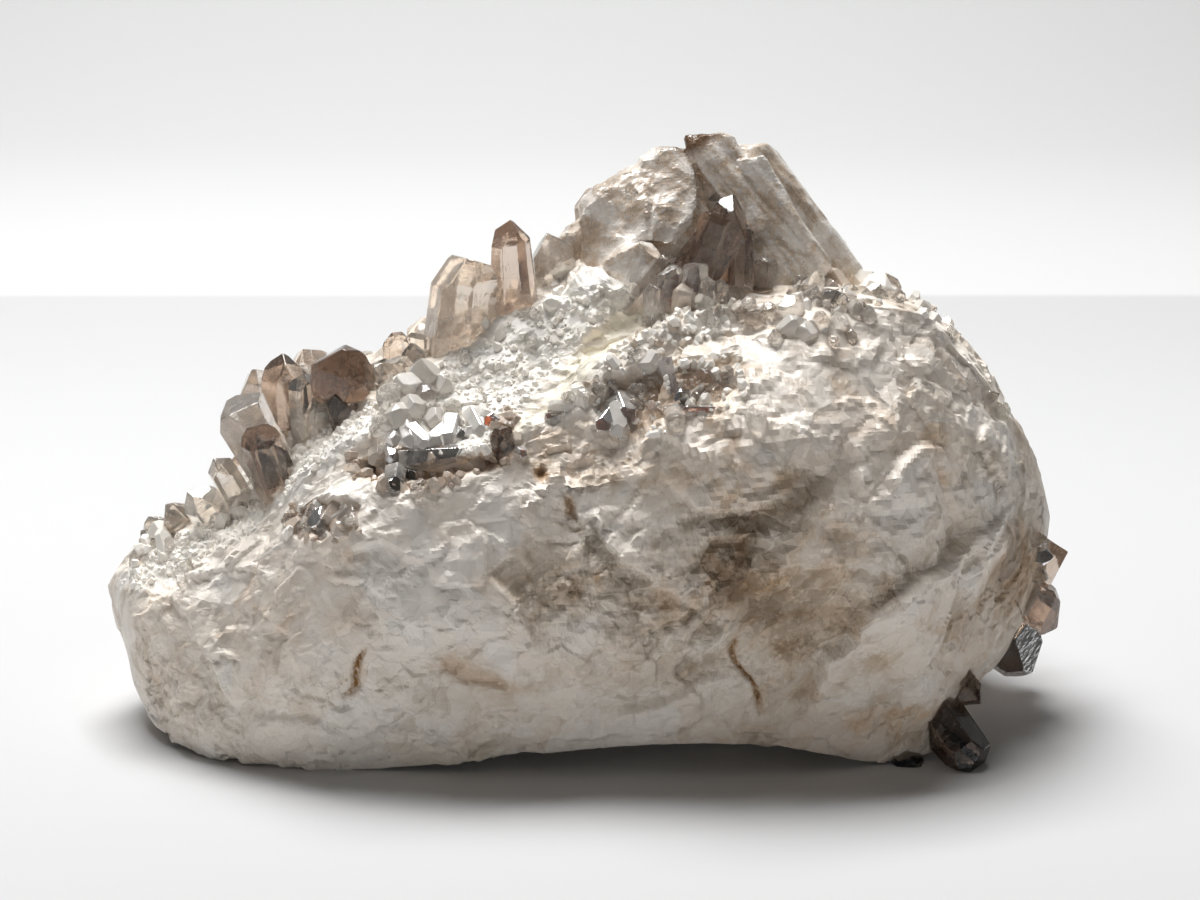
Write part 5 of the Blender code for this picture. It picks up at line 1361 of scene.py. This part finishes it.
def makeBack(materials, veilPile, patterns):
    crystals = []
    for xs, zs, count, radius, length, seed in backGroups.values():
        chance = random.Random(seed)
        for number in range(count):
            x = xs[0] + (xs[1] - xs[0]) * (number + 0.5) / count + chance.uniform(-2, 2)
            z = zs[0] + (zs[1] - zs[0]) * ((number * 0.62) % 1.0) + chance.uniform(-2, 2)
            found, normal = onStone(Vector((x, 20, z)) + Vector((0, 60, 9)), (0, -1, -0.15))
            if found is None:
                continue
            lean = Vector((chance.uniform(-0.35, 0.35), 0.1, chance.uniform(0.0, 0.7)))
            size = radius * chance.uniform(0.6, 1.1)
            way = (normal + lean).normalized()
            tip = found + way * length * chance.uniform(0.6, 1.1)
            roll = chance.uniform(0, 60)
            broken = chance.choice((0.0, 0.0, 0.15))
            look = ("mid", "pale", "mid", "dark")[number % 4]
            crystals.append(makeCrystal(veilPile, found - way * 3, tip, size, roll, broken, look,
                                        7000 + seed * 40 + number, 0.3, 3))
    pile = newPile()
    for name in ("topDruse", "backDruse"):
        print(name, scatterOver(coats[name], pile, patterns), "scattered")
    thing = meltTogether("backCrystals", crystals, materials)
    join(thing, pileMesh("backDruse", pile, materials))
    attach(thing, "root")
    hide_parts(*backNodes)


# Materials


class Wiring:
    # a new material and short names for the nodes that the looks use again and again

    def __init__(self, name):
        self.material = bpy.data.materials.new(name)
        self.material.use_nodes = True
        self.tree = self.material.node_tree
        self.tree.nodes.clear()
        self.output = self.add("ShaderNodeOutputMaterial")
        self.shader = self.add("ShaderNodeBsdfPrincipled")
        self.feed(self.output.inputs["Surface"], self.shader.outputs[0])

    def add(self, kind, **settings):
        node = self.tree.nodes.new(kind)
        for key, value in settings.items():
            setattr(node, key, value)
        return node

    def feed(self, socket, value):
        if isinstance(value, bpy.types.NodeSocket):
            self.tree.links.new(value, socket)
        elif socket.type == "RGBA":
            socket.default_value = (*value, 1.0)
        else:
            socket.default_value = value

    def surface(self, name, value):
        self.feed(self.shader.inputs[name], value)

    def smoke(self, colour, density):
        # takes light away on its way through the crystal, density per metre
        haze = self.add("ShaderNodeVolumeAbsorption")
        self.feed(haze.inputs["Color"], colour)
        self.feed(haze.inputs["Density"], density)
        self.feed(self.output.inputs["Volume"], haze.outputs[0])

    def number(self, name):
        return self.add("ShaderNodeAttribute", attribute_name=name).outputs["Fac"]

    def places(self, name):
        return self.add("ShaderNodeAttribute", attribute_name=name).outputs["Vector"]

    def objectPlaces(self):
        return self.add("ShaderNodeTexCoord").outputs["Object"]

    def millimetres(self):
        scaled = self.vector("SCALE", self.objectPlaces())
        self.feed(scaled.node.inputs["Scale"], 1 / mm)
        return scaled

    def math(self, operation, *values, clamp=False):
        node = self.add("ShaderNodeMath", operation=operation, use_clamp=clamp)
        for socket, value in zip(node.inputs, values):
            self.feed(socket, value)
        return node.outputs[0]

    def sum(self, total, *values):
        for value in values:
            total = self.math("ADD", total, value)
        return total

    def times(self, first, second, clamp=False):
        return self.math("MULTIPLY", first, second, clamp=clamp)

    def vector(self, operation, *values):
        node = self.add("ShaderNodeVectorMath", operation=operation)
        for socket, value in zip(node.inputs, values):
            self.feed(socket, value)
        return node.outputs["Value"] if operation == "DOT_PRODUCT" else node.outputs[0]

    def noise(self, where, scale, detail, roughness=0.5, distortion=0.0):
        node = self.add("ShaderNodeTexNoise")
        self.feed(node.inputs["Vector"], where)
        for key, value in (("Scale", scale), ("Detail", detail), ("Roughness", roughness),
                           ("Distortion", distortion)):
            self.feed(node.inputs[key], value)
        return node.outputs["Fac"]

    def cells(self, where, scale, feature="F1"):
        node = self.add("ShaderNodeTexVoronoi", feature=feature)
        self.feed(node.inputs["Vector"], where)
        self.feed(node.inputs["Scale"], scale)
        return node

    def range(self, value, low, high, start=0.0, end=1.0, smooth=True):
        node = self.add("ShaderNodeMapRange", interpolation_type="SMOOTHSTEP" if smooth else "LINEAR")
        for key, given in (("Value", value), ("From Min", low), ("From Max", high), ("To Min", start),
                           ("To Max", end)):
            self.feed(node.inputs[key], given)
        return node.outputs[0]

    def evenly(self, value, low, high, start, end):
        return self.range(value, low, high, start, end, smooth=False)

    def mix(self, share, first, second, blend="MIX"):
        node = self.add("ShaderNodeMix", data_type="RGBA", blend_type=blend)
        for number, value in ((0, share), (6, first), (7, second)):
            self.feed(node.inputs[number], value)
        return node.outputs[2]

    def ramp(self, value, stops):
        node = self.add("ShaderNodeValToRGB")
        self.feed(node.inputs[0], value)
        elements = node.color_ramp.elements
        while len(elements) < len(stops):
            elements.new(0.5)
        for element, (at, colour) in zip(elements, stops):
            element.position = at
            element.color = (*colour, 1.0)
        return node.outputs[0]

    def bump(self, height, strength, distance):
        node = self.add("ShaderNodeBump")
        for key, value in (("Height", height), ("Strength", strength), ("Distance", distance)):
            self.feed(node.inputs[key], value)
        return node.outputs[0]


stoneLook = {
    "deep": (0.20, 0.15, 0.105),
    "grey": (0.43, 0.375, 0.305),
    "pale": (0.73, 0.66, 0.565),
    "white": (0.94, 0.885, 0.81),
    # white of the band and crests, partly their own colour and partly painted light
    "whiteAndLit": (0.96, 0.935, 0.89),
    # colour of the painted shade deep in the hollows
    "inside": (0.62, 0.45, 0.31),
    "warm": (0.82, 0.62, 0.44),
    "cream": (0.93, 0.86, 0.70),
    "rust": (0.36, 0.20, 0.07),
    "brightness": 0.94,
    "roughness": (0.36, 0.60),
    "plates": [(0.085, 0.40, 0.50), (0.21, 0.26, 0.26), (0.62, 0.13, 0.10)],  # cells per mm, shade, height
    "rims": (0.5, 0.30),  # plates of fewer cells per mm than this have rims this much paler
    "plateTilt": 0.35,
    "relief": 0.85,
}


def addPlates(w, streaks, clouds, total, height):
    # broken plates of three sizes, each plate with its own shade, height and tilt
    finest, pale = stoneLook["rims"]
    brown = None
    for scale, shading, tall in stoneLook["plates"]:
        cells = w.cells(streaks, scale)
        parts = w.add("ShaderNodeSeparateColor")
        w.feed(parts.inputs[0], cells.outputs["Color"])
        total = w.sum(total, w.evenly(parts.outputs[0], 0.0, 1.0, -shading / 2, shading / 2))
        if scale < finest:
            edge = w.cells(streaks, scale, "DISTANCE_TO_EDGE").outputs["Distance"]
            rim = w.times(w.range(edge, 0.0, 0.10 * scale + 0.01, 1.0, 0.0), w.range(clouds, 0.46, 0.62))
            total = w.sum(total, w.times(rim, pale))
        away = w.vector("SUBTRACT", streaks, cells.outputs["Position"])
        lean = w.vector("SUBTRACT", cells.outputs["Color"], (0.5, 0.5, 0.5))
        tilt = w.vector("DOT_PRODUCT", away, lean)
        height = w.sum(height, w.times(tilt, stoneLook["plateTilt"]), w.times(parts.outputs[1], tall))
        if brown is None:
            brown = w.range(parts.outputs[2], 0.55, 1.0, 0.0, 0.30)
    return total, height, brown, tilt


def stoneMaterial():
    w = Wiring("milky quartz")
    look = stoneLook
    where = w.millimetres()
    streaks = w.places("streaks")
    clouds = w.noise(where, 0.085, 4, 0.55, 0.4)
    wisps = w.noise(streaks, 0.30, 4, 0.58, 0.5)
    fine = w.noise(where, 1.6, 4, 0.6)
    total = w.sum(w.number("shade"), look["brightness"])
    for noise, reach in ((clouds, 0.10), (wisps, 0.09), (fine, 0.03)):
        total = w.sum(total, w.evenly(noise, 0.36, 0.64, -reach, reach))
    total, height, brown, tilt = addPlates(w, streaks, clouds, total, w.times(fine, 0.06))
    total = w.sum(total, w.times(w.number("bruise"), w.range(fine, 0.42, 0.60, 0.05, 0.5)))
    total = w.math("MAXIMUM", total, 0.0)
    base = w.ramp(total, [(0.0, look["deep"]), (0.33, look["grey"]), (0.64, look["pale"]),
                          (1.0, look["white"])])
    browner = w.sum(w.number("warm"), w.range(clouds, 0.43, 0.62, 0.34, 0.08), brown)
    browner = w.times(browner, w.range(wisps, 0.30, 0.62, 1.0, 0.5), clamp=True)
    base = w.mix(browner, base, w.mix(1.0, base, look["warm"], "MULTIPLY"))
    # paler band and crests: partly their own white, partly painted light
    whiteAndLitShare = w.times(w.number("white"), w.range(wisps, 0.30, 0.55, 0.55, 1.0), clamp=True)
    creamy = w.times(w.number("cream"), w.range(wisps, 0.32, 0.62, 0.35, 1.0), clamp=True)
    rusty = w.times(w.number("rust"), w.range(fine, 0.35, 0.6, 0.2, 1.0), clamp=True)
    # painted shade in the hollows: the deeper, the more of the dark brown inside colour
    inside = w.times(w.number("hollowShade"), 1.5, clamp=True)
    for share, colour in ((whiteAndLitShare, "whiteAndLit"), (creamy, "cream"), (rusty, "rust"), (inside, "inside")):
        base = w.mix(share, base, look[colour])
    w.surface("Base Color", base)
    w.surface("Roughness", w.range(w.sum(wisps, w.times(fine, 0.5)), 0.55, 0.95, *look["roughness"]))
    w.surface("IOR", quartzIor)
    crumbs = w.times(w.times(tilt, 0.9), w.range(w.number("crumble"), 0.0, 1.0, 0.1, 0.9))
    w.surface("Normal", w.bump(w.sum(height, crumbs), look["relief"], 0.001))
    return w.material


# Crystals: colour and density per metre of the smoke, which is in all of it, colour of the milk, how milky
# the clearest and the milkiest parts are, how much light milk lets through and how rough it is
crystalLooks = {
    "clear": {"smoke": (0.92, 0.85, 0.76), "density": 25.0, "milk": (0.97, 0.93, 0.88),
              "amount": (0.16, 0.75), "through": 0.3, "rough": 0.14},
    "milky": {"smoke": (0.88, 0.79, 0.68), "density": 25.0, "milk": (0.97, 0.92, 0.85),
              "amount": (0.72, 1.0), "through": 0.18, "rough": 0.25},
    "pale": {"smoke": (0.80, 0.59, 0.38), "density": 40.0, "milk": (0.92, 0.82, 0.71),
             "amount": (0.16, 0.8), "through": 0.3, "rough": 0.14},
    "tan": {"smoke": (0.78, 0.58, 0.40), "density": 40.0, "milk": (0.88, 0.75, 0.61), "amount": (0.45, 0.9),
            "through": 0.25, "rough": 0.14},
    "mid": {"smoke": (0.66, 0.41, 0.21), "density": 85.0, "milk": (0.72, 0.51, 0.33), "amount": (0.06, 0.5),
            "through": 0.3, "rough": 0.14},
    "night": {"smoke": (0.35, 0.22, 0.13), "density": 420.0, "milk": (0.10, 0.065, 0.045),
              "amount": (0.0, 0.2), "through": 0.4, "rough": 0.14},
    "dark": {"smoke": (0.52, 0.36, 0.24), "density": 190.0, "milk": (0.26, 0.165, 0.105),
             "amount": (0.03, 0.4), "through": 0.3, "rough": 0.14},
    "frost": {"smoke": (0.92, 0.88, 0.82), "density": 20.0, "milk": (1.0, 0.955, 0.885),
              "amount": (0.97, 1.0), "through": 0.0, "rough": 0.55},
    "tea": {"smoke": (0.70, 0.55, 0.40), "density": 60.0, "milk": (0.78, 0.64, 0.50),
            "amount": (0.75, 0.98), "through": 0.08, "rough": 0.35},
    "cocoa": {"smoke": (0.50, 0.35, 0.23), "density": 120.0, "milk": (0.58, 0.42, 0.29),
              "amount": (0.7, 0.98), "through": 0.0, "rough": 0.3},
}


def crystalMaterial(name):
    look = crystalLooks[name]
    w = Wiring(name + " smoky quartz")
    grown = w.places("grown")
    striae = w.noise(w.vector("MULTIPLY", grown, (0.35, 0.35, 3.2)), 1.0, 3)  # fine lines across the walls
    dents = w.noise(grown, 0.55, 3)
    clouds = w.noise(grown, 0.30, 5, 0.6, 0.6)
    milk = w.times(w.number("milk"), w.range(clouds, 0.36, 0.60), clamp=True)
    milk = w.evenly(milk, 0.0, 1.0, *look["amount"])
    w.surface("Base Color", w.mix(milk, (1.0, 0.985, 0.96), look["milk"]))
    w.surface("Transmission Weight", w.evenly(milk, 0.0, 1.0, 1.0, look["through"]))
    w.surface("Roughness", w.sum(w.range(dents, 0.50, 0.66, 0.01, 0.09), w.times(milk, look["rough"])))
    w.surface("IOR", quartzIor)
    w.surface("Specular IOR Level", 0.5 - 0.4 * look["rough"])
    w.surface("Normal", w.bump(w.sum(w.times(striae, 0.5), dents), 0.22, 0.0005))
    w.smoke(look["smoke"], look["density"])
    return w.material


crownLook = {
    "cloudy": (0.98, 0.91, 0.83),
    "tan": (0.93, 0.75, 0.58),
    "white": (0.99, 0.98, 0.96),
    "end": (0.24, 0.145, 0.085),
    "smoke": (0.82, 0.68, 0.54),
    "density": 9.0,
    "through": (0.48, 0.08),  # light let through where it is clear and where it is cloudy
    "lie": 50,  # degrees that the growth lines of the smoky prism run down to the right
    "lines": (9.0, 3.0, 1.0),  # how long they are, along, into and across the prism
}


def crownMaterial():
    look = crownLook
    w = Wiring("cloudy smoky quartz")
    where = w.millimetres()
    turned = w.add("ShaderNodeMapping", vector_type="TEXTURE")
    for key, value in (("Vector", where), ("Rotation", (0.0, math.radians(look["lie"]), 0.0)),
                       ("Scale", look["lines"])):
        w.feed(turned.inputs[key], value)
    grain = w.noise(turned.outputs[0], 0.75, 4, 0.6)
    clouds = w.noise(where, 0.16, 5, 0.6, 0.8)
    fine = w.noise(where, 1.3, 4, 0.6)
    right = w.number("right")
    cloudy = w.sum(clouds, w.times(right, w.evenly(grain, 0.36, 0.64, -0.10, 0.12)))
    base = w.mix(w.range(cloudy, 0.40, 0.60), look["tan"], look["cloudy"])
    # painted highlight along the shell ridges, partly also paler broken quartz there
    ridges = w.times(w.number("edge"), w.range(fine, 0.42, 0.58), clamp=True)
    base = w.mix(w.times(ridges, 0.9), base, look["white"])
    w.surface("Base Color", w.mix(w.number("spar"), base, look["end"]))
    w.surface("Transmission Weight", w.evenly(cloudy, 0.38, 0.58, *look["through"]))
    w.surface("Roughness", w.range(fine, 0.4, 0.62, 0.08, 0.30))
    w.surface("IOR", quartzIor)
    height = w.sum(w.times(fine, 0.30), w.times(grain, w.times(right, 0.5)))
    w.surface("Normal", w.bump(height, 0.6, 0.0008))
    w.smoke(look["smoke"], look["density"])
    return w.material


def veilMaterial():
    w = Wiring("veil")
    wisps = w.noise(w.places("grown"), 0.45, 6, 0.65, 1.2)
    w.surface("Base Color", (0.88, 0.86, 0.83))
    w.surface("Roughness", 0.35)
    w.surface("Alpha", w.range(wisps, 0.50, 0.72, 0.0, 0.75))
    return w.material


print("making materials")
looks = {name: crystalMaterial(name) for name in crystalLooks}
looks["veil"] = veilMaterial()
looks["crown"] = crownMaterial()
massiveQuartz.data.materials.clear()
massiveQuartz.data.materials.append(stoneMaterial())
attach(massiveQuartz, "root")
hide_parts("matrix")

veilPile = newPile()
makeGroups(looks, veilPile)
stonePoints = pointsOf(massiveQuartz.data) / mm - recentre
stoneNormals = normalsOf(massiveQuartz.data)
stoneTree = BVHTree.FromPolygons([tuple(point) for point in stonePoints],
                                 [tuple(face.vertices) for face in massiveQuartz.data.polygons])
patterns = makePatterns()
makeSmall(looks, veilPile, patterns)
makeBack(looks, veilPile, patterns)
veils = pileMesh("veils", veilPile, looks)
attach(veils, "root")
print("crystals ready")

# The studio: a pale sheet that curves up behind the cluster, soft light from above and in front, the camera


def sheetMaterial():
    w = Wiring("pale sheet")
    where = w.objectPlaces()
    axes = w.add("ShaderNodeSeparateXYZ")
    w.feed(axes.inputs[0], where)
    near, shadedBand, beyond = studio["sheetColours"]
    # painted shade: the flat sheet darkens towards a line 340 mm behind the stone, as before a bend, and is
    # pale again beyond it
    base = w.mix(w.range(axes.outputs["Y"], 0.05, 0.34), near, shadedBand)
    base = w.mix(w.range(axes.outputs["Y"], 0.338, 0.346), base, beyond)
    weave = w.noise(where, 900.0, 2)
    w.surface("Base Color", w.mix(w.range(weave, 0.3, 0.7, 0.0, 0.05), base, (0.6, 0.6, 0.62)))
    w.surface("Roughness", 0.9)
    return w.material


def makeSheet():
    profile = [(studio["floorNear"], 0.0)]
    steps = 24
    for k in range(steps + 1):
        turn = math.pi / 2 * k / steps
        y = studio["bend"] + studio["bendRadius"] * math.sin(turn)
        z = studio["bendRadius"] * (1 - math.cos(turn))
        profile.append((y, z))
    profile.append((studio["bend"] + studio["bendRadius"], studio["wallTop"]))
    verts = [(side * studio["halfWidth"] * mm, y * mm, z * mm) for y, z in profile for side in (-1, 1)]
    faces = [(2 * k, 2 * k + 1, 2 * k + 3, 2 * k + 2) for k in range(len(profile) - 1)]
    mesh = bpy.data.meshes.new("sheet")
    mesh.from_pydata(verts, [], faces)
    mesh.shade_smooth()
    mesh.materials.append(sheetMaterial())
    sheet = place("sheet", mesh)


def softBox(name, stand, aim, width, height, watts):
    data = bpy.data.lights.new(name, "AREA")
    data.shape = "RECTANGLE"
    data.size = width * mm
    data.size_y = height * mm
    data.energy = watts
    made = place(name, data)
    made.location = Vector(stand) * mm
    made.rotation_euler = (Vector(aim) - Vector(stand)).to_track_quat("-Z", "Y").to_euler()


def makeStudio():
    makeSheet()
    softBox("overhead", *studio["overhead"])
    softBox("low front", *studio["lowFront"])
    world = bpy.data.worlds.new("studio")
    bpy.context.scene.world = world
    world.use_nodes = True
    background = world.node_tree.nodes["Background"]
    background.inputs[0].default_value = (*studio["worldColour"], 1)
    background.inputs[1].default_value = studio["worldStrength"]
    data = bpy.data.cameras.new("camera")
    data.lens = studio["cameraLens"]
    data.sensor_width = 36.0
    data.clip_start = 0.01
    data.clip_end = 10.0
    camera = place("camera", data)
    camera.location = Vector(np.array(studio["cameraPlace"]) + recentre) * mm
    camera.rotation_euler = (math.radians(studio["cameraTilt"]), 0, 0)
    bpy.context.scene.camera = camera
    bpy.context.scene.view_settings.view_transform = "Standard"


makeStudio()
print("studio ready")
